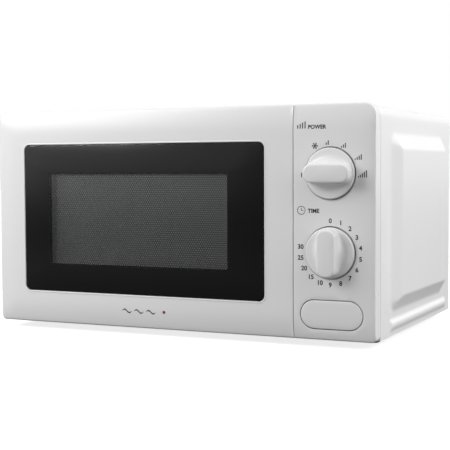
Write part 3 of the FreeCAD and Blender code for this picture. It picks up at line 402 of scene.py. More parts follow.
def racetrack(centre, long, high, grow=0.0, arc=20, step=4.0):
    """Two straight sides with round ends, larger all round by grow."""
    half, radius = (long - high) / 2, high / 2 + grow
    points = []
    count = max(1, round(2 * half / step))
    for side in (1, -1):
        for i in range(arc + 1):
            angle = math.pi * (i / arc - 0.5) + (0 if side > 0 else math.pi)
            points.append((centre[0] + side * half + radius * math.cos(angle),
                           centre[1] + radius * math.sin(angle)))
        for i in range(1, count):
            points.append((centre[0] + side * (half - 2 * half * i / count),
                           centre[1] + side * radius))
    return points


def ring(centre, radius, sides=96):
    """Points of a circle, anticlockwise."""
    return [(centre[0] + radius * math.cos(a), centre[1] + radius * math.sin(a))
            for a in turns(sides)]


def button_track(grow):
    """Outline of the door button, larger all round by grow."""
    dials = bpy.context.scene.oven_dials
    return racetrack(BUTTON_CENTRE, dials.button_length / MM, dials.button_height / MM, grow)


def front_face(x, z):
    """Y of the crowned front at a place: flat in the middle, falling back towards its edges."""
    sizes = bpy.context.scene.oven_front

    def fall(distance, drop, margin):
        return drop * max(0.0, 1 - max(distance, 0.0) / margin) ** 2 / MM

    margin = sizes.crown_margin / MM
    side = max(fall(x - LEFT, sizes.crown_drop, margin),
               fall(RIGHT - x, sizes.side_drop, sizes.side_margin / MM))
    level = max(fall(z - LOW, sizes.crown_drop, margin), fall(TOP - z, sizes.crown_drop, margin))
    return FRONT + math.hypot(side, level)


def shell_front(shell, rect, radii, rounding, start, rear, holes):
    """Crowned face with rounded edges and outer walls. rounding and start are the radius and the
    first angle of the rounding on each side; rear(x) is the y where the walls end. Returns the
    last row."""
    steps = 7
    rows = []
    face = None
    for i in range(steps + 1):
        insets, depths = [], []
        for radius, first in zip(rounding, start):
            angle = first + (math.pi / 2 - first) * i / steps
            insets.append(radius * (1 - math.sin(angle)))
            depths.append(radius * (math.cos(first) - math.cos(angle)))
        points = outline(*rect, radii, insets)
        if face is None:
            face = [front_face(x, z) for x, z, _ in points]
        rows.append(shell.row([(x, y + sum(w * d for w, d in zip(weights, depths)), z)
                               for (x, z, weights), y in zip(points, face)]))
    shell.sheet(rows[0], holes, bpy.context.scene.oven_front.grid / MM, front_face)
    rows.append(shell.row([(x, rear(x), z) for x, z, _ in outline(*rect, radii)]))
    shell.skin(rows)
    return rows[-1]


def shell_back(shell, last, rect, radii, wall, rear, depth, holes):
    """Back rim, inner walls and inner face of a moulding, from its last outer row."""
    rows = [last]
    for inset in (wall / 2, wall):
        inner = outline(*rect, radii, [inset] * 4)
        rows.append(shell.row([(x, rear(x), z) for x, z, _ in inner]))
    rows.append(shell.level(inner, depth))
    shell.skin(rows)
    shell.sheet(rows[-1], holes)


# ------------------------------------------------------------------ materials
def add_node(tree, kind, settings=None, links=None):
    """Adds a node with its settings and links. Keys are socket names or numbers, or the node's
    own properties."""
    node = tree.nodes.new(kind)
    for key, value in (settings or {}).items():
        if isinstance(key, int) or key in node.inputs:
            node.inputs[key].default_value = value
        else:
            setattr(node, key, value)
    for key, socket in (links or {}).items():
        tree.links.new(socket, node.inputs[key])
    return node


def new_finish(name, settings):
    """A material with one Principled shader. Returns the material, its tree and the shader."""
    material = bpy.data.materials.new(name)
    material.use_nodes = True
    tree = material.node_tree
    tree.nodes.clear()
    shader = add_node(tree, "ShaderNodeBsdfPrincipled", settings)
    add_node(tree, "ShaderNodeOutputMaterial", links={"Surface": shader.outputs[0]})
    return material, tree, shader


def rgba(colour):
    """Linear RGBA of an sRGB hex colour, or of a colour setting, which is linear already."""
    return (*(linear(colour) if isinstance(colour, str) else tuple(colour)[:3]), 1.0)


def place_of(tree, stretch=(1, 1, 1)):
    """The piece's own coordinates in metres, squeezed along an axis for grain."""
    where = add_node(tree, "ShaderNodeTexCoord")
    return add_node(tree, "ShaderNodeMapping", {"Scale": stretch},
                    {"Vector": where.outputs["Object"]}).outputs[0]


def vary(tree, shader, pattern, colour, other, roughness, span=(0.0, 1.0)):
    """Lets a pattern drift the colour and, over its span, the roughness."""
    mix = add_node(tree, "ShaderNodeMix", {"data_type": "RGBA", 6: rgba(colour), 7: rgba(other)},
                   {0: pattern})
    gloss = add_node(tree, "ShaderNodeMapRange", {"From Min": span[0], "From Max": span[1],
                                                  "To Min": roughness[0], "To Max": roughness[1]},
                     {"Value": pattern})
    tree.links.new(mix.outputs[2], shader.inputs["Base Color"])
    tree.links.new(gloss.outputs[0], shader.inputs["Roughness"])


def mottle(tree, shader, colour, other, size, roughness, stretch=(1, 1, 1), detail=3.0):
    """Drifts the colour and the roughness over patches of a size in millimetres."""
    noise = add_node(tree, "ShaderNodeTexNoise", {"Scale": 1 / (size * MM), "Detail": detail},
                     {"Vector": place_of(tree, stretch)})
    vary(tree, shader, noise.outputs["Fac"], colour, other, roughness, (0.3, 0.7))


def show_to(tree, ray, usual, special):
    """Makes a material look different to one kind of ray."""
    path = add_node(tree, "ShaderNodeLightPath")
    mix = add_node(tree, "ShaderNodeMixShader", None,
                   {0: path.outputs[ray], 1: usual.outputs[0], 2: special.outputs[0]})
    out = next(n for n in tree.nodes if n.type in ("OUTPUT_MATERIAL", "OUTPUT_WORLD"))
    tree.links.new(mix.outputs[0], out.inputs["Surface"])


def relief(tree, shader, height, depth):
    """Raises the surface by a pattern, to a depth in millimetres."""
    bump = add_node(tree, "ShaderNodeBump", {"Strength": 1.0, "Distance": depth * MM},
                    {"Height": height})
    tree.links.new(bump.outputs[0], shader.inputs["Normal"])


def grain(tree, shader, size, depth, stretch=(1, 1, 1), detail=2.0):
    """Fine grain of a size and depth in millimetres."""
    noise = add_node(tree, "ShaderNodeTexNoise", {"Scale": 1 / (size * MM), "Detail": detail},
                     {"Vector": place_of(tree, stretch)})
    relief(tree, shader, noise.outputs["Fac"], depth)


def moulded(name, colour, shade, roughness, grain_size=0.9, depth=0.004):
    """Injection-moulded plastic or pressed ferrite: a broad soft highlight with the faint grain
    of an eroded steel mould."""
    material, tree, shader = new_finish(name, {"IOR": 1.53})
    mottle(tree, shader, colour, shade, 60.0, roughness)
    grain(tree, shader, grain_size, depth)
    return material


def powder_coated_steel(name, colour, shade):
    """Powder coat on pressed steel: slight orange peel about 2 mm across under a satin gloss."""
    material, tree, shader = new_finish(name, {"IOR": 1.5, "Coat Weight": 0.25,
                                               "Coat Roughness": 0.22})
    mottle(tree, shader, colour, shade, 90.0, (0.378, 0.384))
    grain(tree, shader, 2.2, 0.012)
    return material


def ceramic_print(name, colour):
    """Black ceramic enamel fired onto the back of the glass: deep and even. It is bonded to the
    glass, so it has almost no shine of its own."""
    material, tree, shader = new_finish(name, {"IOR": 1.5, "Specular IOR Level": 0.02})
    mottle(tree, shader, colour, "#080809", 30.0, (0.6, 0.7))
    return material


def printed_glass(name, colour):
    """Front of float glass that is printed black behind: a clear gloss over an even black."""
    material, tree, shader = new_finish(name, {"IOR": 1.52, "Specular IOR Level": 0.4})
    mottle(tree, shader, colour, "#080809", 30.0, (0.14, 0.15))
    return material


def float_glass(name, tint, roughness=0.0, ripple=0.0):
    """Float glass: clear, bent light at its edge, and lamps shine straight through the pane. A
    little roughness softens only what a pane mirrors, when what it covers is close behind."""
    material, tree, shader = new_finish(name, {"Base Color": rgba(tint), "IOR": 1.52,
                                               "Roughness": roughness,
                                               "Specular IOR Level": 0.4,
                                               "Transmission Weight": 1.0})
    if ripple:
        grain(tree, shader, 14.0, ripple)
    clear = add_node(tree, "ShaderNodeBsdfTransparent", {"Color": rgba(tint)})
    show_to(tree, "Is Shadow Ray", shader, clear)
    return material


def painted_screen(name, colour):
    """Dip-painted perforated steel: a thin satin film of dark grey."""
    material, tree, shader = new_finish(name, {"IOR": 1.5})
    mottle(tree, shader, colour, "#302F2F", 35.0, (0.5, 0.55))
    grain(tree, shader, 0.5, 0.004)
    return material


def printed_ink(name, colour):
    """Pad-printed ink: matt, a little thin in places."""
    material, tree, shader = new_finish(name, {"IOR": 1.5})
    mottle(tree, shader, colour, "#2A2A2C", 2.5, (0.5, 0.65))
    return material


def fired_enamel(name, colour, shade):
    """Sprayed cavity enamel: smooth, wet-looking, with fine darker flecks."""
    material, tree, shader = new_finish(name, {"IOR": 1.52, "Coat Weight": 0.3,
                                               "Coat Roughness": 0.15})
    mottle(tree, shader, colour, shade, 1.4, (0.3, 0.42), detail=2.0)
    grain(tree, shader, 2.5, 0.01)
    return material


def galvanised_sheet(name):
    """Hot-dip zinc on steel: dull metal with spangles about 7 mm across."""
    material, tree, shader = new_finish(name, {"Metallic": 1.0})
    spangle = add_node(tree, "ShaderNodeTexVoronoi", {"Scale": 1 / (7.0 * MM)},
                       {"Vector": place_of(tree)})
    vary(tree, shader, spangle.outputs["Color"], "#B9BCBE", "#9DA1A4", (0.32, 0.52))
    grain(tree, shader, 1.2, 0.003)
    return material


def drawn_metal(name, colour, shade, roughness, stretch=(1, 1, 0.08), size=0.8, depth=0.004):
    """Rolled, turned or drawn metal: fine lines along the way it was worked."""
    material, tree, shader = new_finish(name, {"Metallic": 1.0})
    mottle(tree, shader, colour, shade, size, roughness, stretch)
    grain(tree, shader, size / 2, depth, stretch)
    return material


WAVE_REPEAT = 0.314      # distance between a wave texture's bands at a scale of 1


def layered(name, settings, colours, spacing, axis, depth, roughness):
    """Stacked layers or wound turns at a spacing in millimetres, seen as fine parallel lines."""
    material, tree, shader = new_finish(name, settings)
    mottle(tree, shader, colours[0], colours[1], 12.0, roughness)
    wave = add_node(tree, "ShaderNodeTexWave",
                    {"Scale": WAVE_REPEAT / (spacing * MM), "Distortion": 0.4,
                     "bands_direction": axis},
                    {"Vector": place_of(tree)})
    relief(tree, shader, wave.outputs["Fac"], depth)
    return material


def flaked_mica(name):
    """Pressed mica sheet: warm grey flakes with a silky shine."""
    material, tree, shader = new_finish(name, {"IOR": 1.56})
    flakes = add_node(tree, "ShaderNodeTexVoronoi", {"Scale": 1 / (3.0 * MM)},
                      {"Vector": place_of(tree)})
    vary(tree, shader, flakes.outputs["Color"], "#B7AA93", "#94886F", (0.25, 0.6))
    relief(tree, shader, flakes.outputs["Distance"], 0.02)
    return material


def laminated_board(name):
    """Glass-epoxy board: green-brown lacquer over a fine weave 0.6 mm apart."""
    material, tree, shader = new_finish(name, {"IOR": 1.55})
    mottle(tree, shader, "#6C5A36", "#59492B", 9.0, (0.35, 0.5))
    weave = add_node(tree, "ShaderNodeTexChecker", {"Scale": 1 / (0.6 * MM)},
                     {"Vector": place_of(tree)})
    relief(tree, shader, weave.outputs["Fac"], 0.01)
    return material


FINISHES = {}


def finish(name):
    """The material of a finish, made at its first use."""
    if name not in FINISHES:
        FINISHES[name] = FINISH_MAKERS[name](bpy.context.scene.oven_colours)
    return FINISHES[name]


FINISH_MAKERS = {
    "abs_white": lambda c: moulded("abs_white_moulded", c.moulding, "#EFEFEF", (0.268, 0.272)),
    "abs_knob": lambda c: moulded("abs_white_knob_moulded", c.moulding, "#EFEFEF",
                                  (0.238, 0.242), depth=0.002),
    "powder_coat": lambda c: powder_coated_steel("steel_powder_coated", c.cabinet, "#F1F1F1"),
    "ceramic_print": lambda c: ceramic_print("glass_ceramic_print_black", c.border),
    "printed_glass": lambda c: printed_glass("glass_float_back_printed", c.border),
    "float_glass": lambda c: float_glass("glass_float_clear", "#F2F3F3", 0.14),
    "pressed_glass": lambda c: float_glass("glass_pressed_clear", "#EEF4F2", 0.03, 0.05),
    "lamp_glass": lambda c: float_glass("glass_blown_lamp", "#F6F4EE", 0.05),
    "screen": lambda c: painted_screen("steel_perforated_painted", c.screen),
    "ink": lambda c: printed_ink("ink_pad_printed", c.legend),
    "ink_dot": lambda c: printed_ink("ink_pad_printed_red", c.dot),
    "enamel": lambda c: fired_enamel("steel_cavity_enamelled", c.enamel, "#C9C9C5"),
    "zinc": lambda c: galvanised_sheet("steel_galvanised_rolled"),
    "steel": lambda c: drawn_metal("steel_nickel_plated_turned", "#C4C3BF", "#A9A8A5",
                                   (0.24, 0.36)),
    "spring": lambda c: drawn_metal("steel_spring_drawn", "#9A9A9C", "#7E7F82", (0.28, 0.4)),
    "nylon": lambda c: moulded("nylon_black_moulded", "#17171A", "#202023", (0.42, 0.52),
                               1.2, 0.01),
    "pbt": lambda c: moulded("pbt_grey_moulded", "#8B8D90", "#7C7E82", (0.38, 0.5), 1.2, 0.01),
    "acetal": lambda c: moulded("acetal_natural_moulded", "#E9E6DC", "#DDD9CD", (0.3, 0.42),
                                1.5, 0.006),
    "polypropylene": lambda c: moulded("polypropylene_choke_moulded", "#2A2B2D", "#232426",
                                       (0.4, 0.5), 1.1, 0.012),
    "mica": lambda c: flaked_mica("mica_pressed_sheet"),
    "aluminium": lambda c: drawn_metal("aluminium_mill_rolled", "#D5D7D9", "#BFC2C5",
                                       (0.26, 0.4), (0.1, 1, 1)),
    "ferrite": lambda c: moulded("ferrite_sintered", "#3A3B3D", "#2E2F31", (0.55, 0.7),
                                 0.8, 0.02),
    "winding": lambda c: layered("copper_wire_wound", {"Metallic": 1.0},
                                 ("#B8683A", "#9C5128"), 1.2, "Z", 0.25, (0.28, 0.4)),
    "core": lambda c: layered("steel_laminated_core", {"Metallic": 1.0},
                              ("#6A6B6D", "#55575A"), 0.8, "Y", 0.08, (0.4, 0.55)),
    "board": lambda c: laminated_board("epoxy_glass_laminated"),
}

FITTINGS = {
    "enamel": ("cavity_shell", "front_plate"),
    "zinc": ("rear_panel", "base_plate", "timer_bracket", "turntable_motor", "waveguide",
             "magnetron_yoke", "magnetron_filter_box", "capacitor_clamp"),
    "steel": ("screws", "hinge_brackets", "hinge_pins", "magnetron_core", "power_shaft",
              "timer_shaft", "fan_shaft"),
    "nylon": ("rear_spacers", "cord_gland", "feet", "hv_diode"),
    "pbt": ("interlock_switches", "fan_shroud", "air_duct", "thermal_cutouts", "fan_blade"),
    "acetal": ("timer_unit", "power_selector", "latch_board", "lamp_holder", "latch_hooks",
               "release_lever", "turntable_coupler", "roller_ring", "roller_1", "roller_2",
               "roller_3"),
    "polypropylene": ("choke_cover",),
    "screen": ("choke_frame",),
    "float_glass": ("inner_window",),
    "pressed_glass": ("glass_tray",),
    "lamp_glass": ("cavity_lamp",),
    "mica": ("waveguide_cover",),
    "aluminium": ("magnetron_fins", "hv_capacitor"),
    "ferrite": ("magnetron_magnets",),
    "winding": ("transformer_windings",),
    "core": ("transformer_core", "fan_motor"),
    "board": ("line_filter_board",),
}


# ------------------------------------------------------------------ operators
class OvenOperator(bpy.types.Operator):
    """What every step has in common."""
    bl_options = {"REGISTER", "UNDO"}


class OVEN_OT_door(OvenOperator):
    """Door moulding with its crowned face, glass pocket, bead and hinge blocks"""
    bl_idname = "oven.door"
    bl_label = "Door Moulding"

    def execute(self, context):
        sizes = context.scene.oven_front
        edge, gap, wall = (v / MM for v in (sizes.edge_radius, sizes.gap_radius, sizes.wall))
        rect = (DOOR[0][0], DOOR[1][0], LOW, TOP)
        radii = (sizes.low_corner / MM, SQUARE_CORNER, SQUARE_CORNER, sizes.door_corner / MM)
        slope = math.atan(2 * sizes.crown_drop / sizes.crown_margin)
        seat, floor = DOOR[1][1], 6.0
        sweep = 9.3              # the rear edge by the hinge is rounded about the hinge axis

        def rear(x):
            reach = sweep ** 2 - (x - HINGE[0]) ** 2
            return min(seat, HINGE[1] + math.sqrt(reach)) if x < HINGE[0] and reach > 0 else seat

        shell = Shell()
        window = self.window(shell, context)
        last = shell_front(shell, rect, radii, (edge, edge, gap, edge), (slope, slope, 0, slope),
                           rear, [window[0]])
        shell_back(shell, last, rect, radii, wall, rear, floor, [window[1]])
        door = new_piece("door_moulding", shell, None, None, finish("abs_white"), soften=None)
        self.hinge_blocks(door, seat, wall)
        smooth(door, 30)
        place(door, "door", "white_moulding", "door_frame")
        return {"FINISHED"}

    def window(self, shell, context):
        """Bead, pocket and ledge of the glass. Returns the outer and the inner row."""
        sizes = context.scene.oven_front
        width, height = sizes.bead_width / MM, sizes.bead_height / MM
        pocket, ledge, back = 3.55, 6.0, 6.2
        profile = [(width * u, -height * v) for u, v in
                   ((1, 0), (0.94, 0.5), (0.78, 0.87), (0.55, 1), (0.3, 0.87), (0.12, 0.5))]
        profile += [(0.0, 0.0), (0.0, pocket), (-ledge, pocket), (-ledge, back)]
        clear = 0.2
        rect = (GLASS[0][0] - clear, GLASS[1][0] + clear, GLASS[0][2] - clear, GLASS[1][2] + clear)
        radius = context.scene.oven_window.corner / MM + clear
        rows = []
        for grow, depth in profile:
            rows.append(shell.level(outline(*rect, [radius] * 4, [-grow] * 4), depth))
        shell.skin(rows)
        return rows[0], rows[-1]

    def hinge_blocks(self, door, seat, wall):
        """Blocks that hold the hinge pins, with slots for the hinge arms."""
        half_slot, half_block, eye, bore, pin_reach = 1.8, 9.0, 4.8, 2.55, 7.0
        past = 1.0               # cuts run past the surfaces that they open
        for node_z in hinge_levels():
            block = Shell()
            block.box((LEFT + wall - 0.7, FRONT + 4.0, node_z - half_block),
                      (HINGE[0] + 7, seat - 1.2, node_z + half_block))
            carve(door, block, "UNION")
            slot = Shell()
            slot.box((LEFT - past, HINGE[1] - 3.5, node_z - half_slot),
                     (HINGE[0] + 2.9, seat + past, node_z + half_slot))
            carve(door, slot)
            for radius, reach in ((eye, half_slot), (bore, pin_reach)):
                hole = Shell()
                hole.rod(HINGE, radius, node_z - reach, node_z + reach)
                carve(door, hole)


def hinge_levels():
    """Heights of the two hinge arms."""
    low, high = box_mm("hinge_pins")
    return low[2] + 7.0, high[2] - 7.0


class OVEN_OT_window(OvenOperator):
    """Glass pane, the black print behind it and the perforated screen"""
    bl_idname = "oven.window"
    bl_label = "Door Window"

    def execute(self, context):
        sizes = context.scene.oven_window
        self.pane(sizes)
        self.border(sizes)
        self.screen(sizes)
        return {"FINISHED"}

    def pane(self, sizes):
        """Pane with a ground bevel. Its front is split by the edge of the print."""
        (x0, y0, z0), (x1, y1, z1) = GLASS
        edge, radius = sizes.edge / MM, sizes.corner / MM
        shell = Shell()
        rows = []
        for inset, y in ((edge, y0), (edge * 0.55, y0 + 0.08), (edge * 0.2, y0 + 0.3),
                         (0.0, y0 + 0.75), (0.0, y1 - 0.3), (0.3, y1)):
            points = outline(x0, x1, z0, z1, [radius] * 4, [inset] * 4)
            rows.append(shell.row([(x, y, z) for x, z, _ in points]))
        shell.skin(rows)
        shell.sheet(rows[-1])
        overlap = 1.6        # the clear part reaches over the print, and shows it from every side
        clear = shell.row([(x, y0, z) for x, z, _ in
                           outline(*self.clear_area(sizes, overlap),
                                   [sizes.print_corner / MM] * 4)])
        shell.sheet(clear)
        unprinted = len(shell.faces)
        shell.sheet(rows[0], [clear])
        pane = new_piece("door_pane", shell, "door", "black_glass", finish("float_glass"),
                         ["door_glass"], soften=20)
        for name in ("ceramic_print", "printed_glass"):
            pane.data.materials.append(finish(name))
        for face in pane.data.polygons:
            if abs(face.normal.y) < 0.3:     # the pane's sides are inked black
                face.material_index = 1
            elif face.index >= unprinted:
                face.material_index = 2

    def clear_area(self, sizes, grown=0.0):
        """Left, right, bottom and top of the area without print, grown by a margin."""
        (x0, _, z0), (x1, _, z1) = GLASS
        return (x0 + sizes.print_side / MM - grown, x1 - sizes.print_far_side / MM + grown,
                z0 + sizes.print_low / MM - grown, z1 - sizes.print_high / MM + grown)

    def border(self, sizes):
        """Print around the clear area, bonded into the back of the pane."""
        (x0, _, z0), (x1, y1, z1) = GLASS
        outer = outline(x0, x1, z0, z1, [sizes.corner / MM] * 4, [0.35] * 4)
        hole = outline(*self.clear_area(sizes), [sizes.print_corner / MM] * 4)
        shell = Shell()
        sides = []
        for y in (y1 - 0.06, y1 + 0.08):     # reaches a little into the glass
            rows = [shell.row([(x, y, z) for x, z, _ in points]) for points in (outer, hole)]
            shell.sheet(rows[0], [rows[1]])
            sides.append(rows)
        shell.band(sides[0][0], sides[1][0])
        shell.band(sides[0][1], sides[1][1])
        new_piece("pane_print", shell, "door", "black_glass", finish("ceramic_print"),
                  ["door_glass"], soften=20)

    def screen(self, sizes):
        """Steel sheet with staggered round holes. Every hole sits in a cell with six boundary
        points, so that neighbouring rows share them."""
        (x0, y0, z0), (x1, y1, z1) = SCREEN
        pitch, hole = sizes.pitch / MM, sizes.hole / MM
        rise = pitch * math.sqrt(3) / 2
        left, low = -147.0, 71.0     # where the first hole's cell begins
        across, rows = 81, 45
        shell = Shell()
        faces = []
        for y in (y0, y1):
            lines = [shell.row([(left + pitch * i / 2, y, low + rise * r)
                                for i in range(2 * across + 2)]) for r in range(rows + 1)]
            rings = []
            for r in range(rows):
                shift = r % 2
                below, above = lines[r], lines[r + 1]
                for k in range(across):
                    i = 2 * k + shift
                    centre = (left + pitch * (i + 1) / 2, low + rise * (r + 0.5))
                    holes = shell.row([(centre[0] + hole * math.cos(a), y,
                                        centre[1] + hole * math.sin(a)) for a in turns(8)])
                    rings.append(holes)
                    a, b, c = below[i:i + 3]
                    d, e, f = above[i:i + 3]
                    shell.faces += [(f, e, holes[2], holes[1]), (e, d, holes[3], holes[2]),
                                    (d, a, holes[5], holes[4], holes[3]),
                                    (a, b, holes[6], holes[5]), (b, c, holes[7], holes[6]),
                                    (c, f, holes[1], holes[0], holes[7])]
                end = 2 * across if shift == 0 else 0
                shell.faces.append((below[end], below[end + 1], above[end + 1], above[end]))
            inner = (lines[0] + [line[-1] for line in lines[1:]] + lines[-1][-2::-1]
                     + [line[0] for line in lines[-2:0:-1]])
            outer = shell.row([(x, y, z) for x, z, _ in
                               outline(x0, x1, z0, z1, [1.0] * 4, step=4.0, arc=3)])
            shell.sheet(outer, [inner])
            faces.append((rings, outer))
        for one, two in zip(faces[0][0], faces[1][0]):
            shell.band(one, two)
        shell.band(faces[0][1], faces[1][1])
        new_piece("screen_perforated", shell, "door", "screen_steel", finish("screen"),
                  ["perforated_screen"], soften=50)


class OVEN_OT_panel(OvenOperator):
    """Control panel moulding with its knob wells, and the door button"""
    bl_idname = "oven.panel"
    bl_label = "Control Panel"

    def execute(self, context):
        self.panel(context)
        self.button()
        return {"FINISHED"}

    def panel(self, context):
        """Panel with two wells that widen behind their rims, and a sleeve for the button."""
        sizes, dials = context.scene.oven_front, context.scene.oven_dials
        edge, gap, wall = (v / MM for v in (sizes.edge_radius, sizes.gap_radius, sizes.wall))
        rect = (PANEL[0][0], PANEL[1][0], LOW, TOP)
        radii = (SQUARE_CORNER, sizes.low_corner / MM, sizes.panel_corner / MM, SQUARE_CORNER)
        slope = math.atan(2 * sizes.crown_drop / sizes.crown_margin)
        side_slope = math.atan(2 * sizes.side_drop / sizes.side_margin)
        plate, depth = PANEL[1][1], 9.0
        well, well_depth = (dials.radius + dials.well_gap) / MM, dials.well_depth / MM
        relief, shaft_hole = 1.5, 4.5
        shell = Shell()
        openings, floors = [], []
        for x, _, z in DIALS.values():
            rows = [shell.sunk(ring((x, z), well + grow), sink) for grow, sink in
                    ((0.3, 0), (0.09, 0.09), (0, 0.3), (0, 1.1), (relief, 1.8))]
            rows.append(shell.level(ring((x, z), well + relief), well_depth))
            shell.skin(rows)
            hole = [shell.level(ring((x, z), shaft_hole, 32), y) for y in (well_depth, depth)]
            shell.band(*hole)
            shell.sheet(rows[-1], [hole[0]])
            openings.append(rows[0])
            floors.append(hole[1])
        button_gap = dials.button_gap / MM
        sleeve_wall, sleeve_end, relief = 2.0, 14.0, 1.2
        rows = [shell.sunk(button_track(button_gap + grow), sink) for grow, sink in
                ((0.3, 0), (0.08, 0.09), (0, 0.3), (0, 1.1), (relief, 1.8))]
        rows += [shell.level(button_track(button_gap + grow), y) for grow, y in
                 ((relief, 12.0), (0, 13.2), (0, sleeve_end), (sleeve_wall, sleeve_end),
                  (sleeve_wall, depth))]
        shell.skin(rows)
        openings.append(rows[0])
        floors.append(rows[-1])
        last = shell_front(shell, rect, radii, (gap, edge, sizes.side_radius / MM, edge),
                           (0, slope, side_slope, slope), lambda x: plate, openings)
        shell_back(shell, last, rect, radii, wall, lambda x: plate, depth, floors)
        new_piece("panel_moulding", shell, "chassis", "white_moulding", finish("abs_white"),
                  ["control_panel"], soften=30)

    def button(self):
        """Flush button with a hollow back, relieved behind its edge, and a flange that keeps it in
        its sleeve."""
        shell = Shell()
        edge, neck, flange, flange_front, flange_back = 0.7, -1.6, 1.9, 14.0, 15.5
        rows = []
        for i in range(5):
            angle = math.pi / 8 * i
            rows.append(shell.sunk(button_track(-edge * (1 - math.sin(angle))),
                                   edge * (1 - math.cos(angle))))
        rows += [shell.sunk(button_track(grow), sink) for grow, sink in ((0, 1.3), (neck, 2.1))]
        rows += [shell.level(button_track(grow), y) for grow, y in
                 ((neck, 12.0), (0, 13.2), (0, flange_front), (flange, flange_front),
                  (flange, flange_back), (-2.2, flange_back), (-2.2, 12.5), (-3.0, 11.0),
                  (-3.0, 4.5))]
        shell.skin(rows)
        shell.sheet(rows[0], step=4.0, height=front_face)
        shell.sheet(rows[-1])
        new_piece("button_cap", shell, "button", "white_moulding", finish("abs_white"),
                  ["door_button"], soften=30)


class OVEN_OT_dials(OvenOperator):
    """Knobs: a round skirt with a grip bar whose sides scoop out to the rim"""
    bl_idname = "oven.dials"
    bl_label = "Knobs"

    def execute(self, context):
        for name, quarter in (("power", 0), ("timer", 1)):
            self.knob(context.scene.oven_dials, name, quarter * math.pi / 2)
        return {"FINISHED"}

    def grip(self, angle, half_long, half_wide, end):
        """Distance from the middle to the grip's outline in a direction."""
        c, s = abs(math.cos(angle)), abs(math.sin(angle))
        best = min(half_long / max(c, 1e-9), half_wide / max(s, 1e-9))
        cx, cz = half_long - end, half_wide - end
        along = c * cx + s * cz
        inside = along ** 2 - (cx ** 2 + cz ** 2 - end ** 2)
        if inside > 0:
            far = along + math.sqrt(inside)
            if far * c > cx and far * s > cz:
                best = min(best, far)
        return best

    def knob(self, dials, name, turn):
        """Rows of one knob, from the middle of its grip out to the rim, down the skirt and up
        into the bore."""
        x, _, z = DIALS[name]
        radius, rim, reach = (v / MM for v in (dials.radius, dials.rim, dials.reach))
        half_long, half_wide = dials.grip_length / 2 / MM, dials.grip_width / 2 / MM
        end, top_round, rim_round, sides = 8.0, 2.2, 1.3, 144
        angles = turns(sides)
        shell = Shell()

        def level(distances, y):
            return shell.row([(x + d * math.cos(a + turn), FRONT + y, z + d * math.sin(a + turn))
                              for d, a in zip(distances, angles)])

        def bar(inset):
            return [self.grip(a, half_long - inset, half_wide - inset, max(end - inset, 1.0))
                    for a in angles]

        rows = []
        crown = 0.5
        flat = bar(top_round)
        for share in (0.25, 0.5, 0.75, 0.9):
            rows.append(level([d * share for d in flat], -reach + crown * share ** 2))
        steps, steep = 6, math.radians(68)       # of the rounding from the top to the flank
        for i in range(steps + 1):
            angle = steep * i / steps
            rows.append(level(bar(top_round * (1 - math.sin(angle))),
                              -reach + crown + top_round * (1 - math.cos(angle))))
        foot = radius - rim_round
        edge = bar(top_round * (1 - math.sin(steep)))
        start = -reach + crown + top_round * (1 - math.cos(steep))
        scoop = 14
        for i in range(1, scoop + 1):
            t = i / scoop
            fall = (1 - t) ** 4.5
            rows.append(level([d + (foot - d) * t for d in edge], -rim + (start + rim) * fall))
        for i in range(1, 6):
            angle = math.pi / 10 * i
            rows.append(level([foot + rim_round * math.sin(angle)] * sides,
                              -rim + rim_round * (1 - math.cos(angle))))
        hub, bore, under, bore_end = 6.5, 3.02, -1.0, -8.0
        skirt_end = dials.well_depth / MM - 0.6
        neck, inner = radius - 2.2, radius - 3.8      # the skirt is narrower than the rim
        for d, y in ((radius, 0.7), (neck, 1.2), (neck, skirt_end), (inner, skirt_end),
                     (inner, under), (hub, under), (hub, skirt_end - 1), (bore, skirt_end - 1),
                     (bore, bore_end)):
            rows.append(level([d] * sides, y))
        shell.skin(rows)
        centre = shell.row([(x, FRONT - reach, z), (x, FRONT + bore_end, z)])
        for row, middle in ((rows[0], centre[0]), (rows[-1], centre[1])):
            shell.faces += [(row[i], row[(i + 1) % sides], middle) for i in range(sides)]
        new_piece(name + "_dial", shell, name + "_control", "knob_moulding", finish("abs_knob"),
                  [name + "_knob"], soften=38)


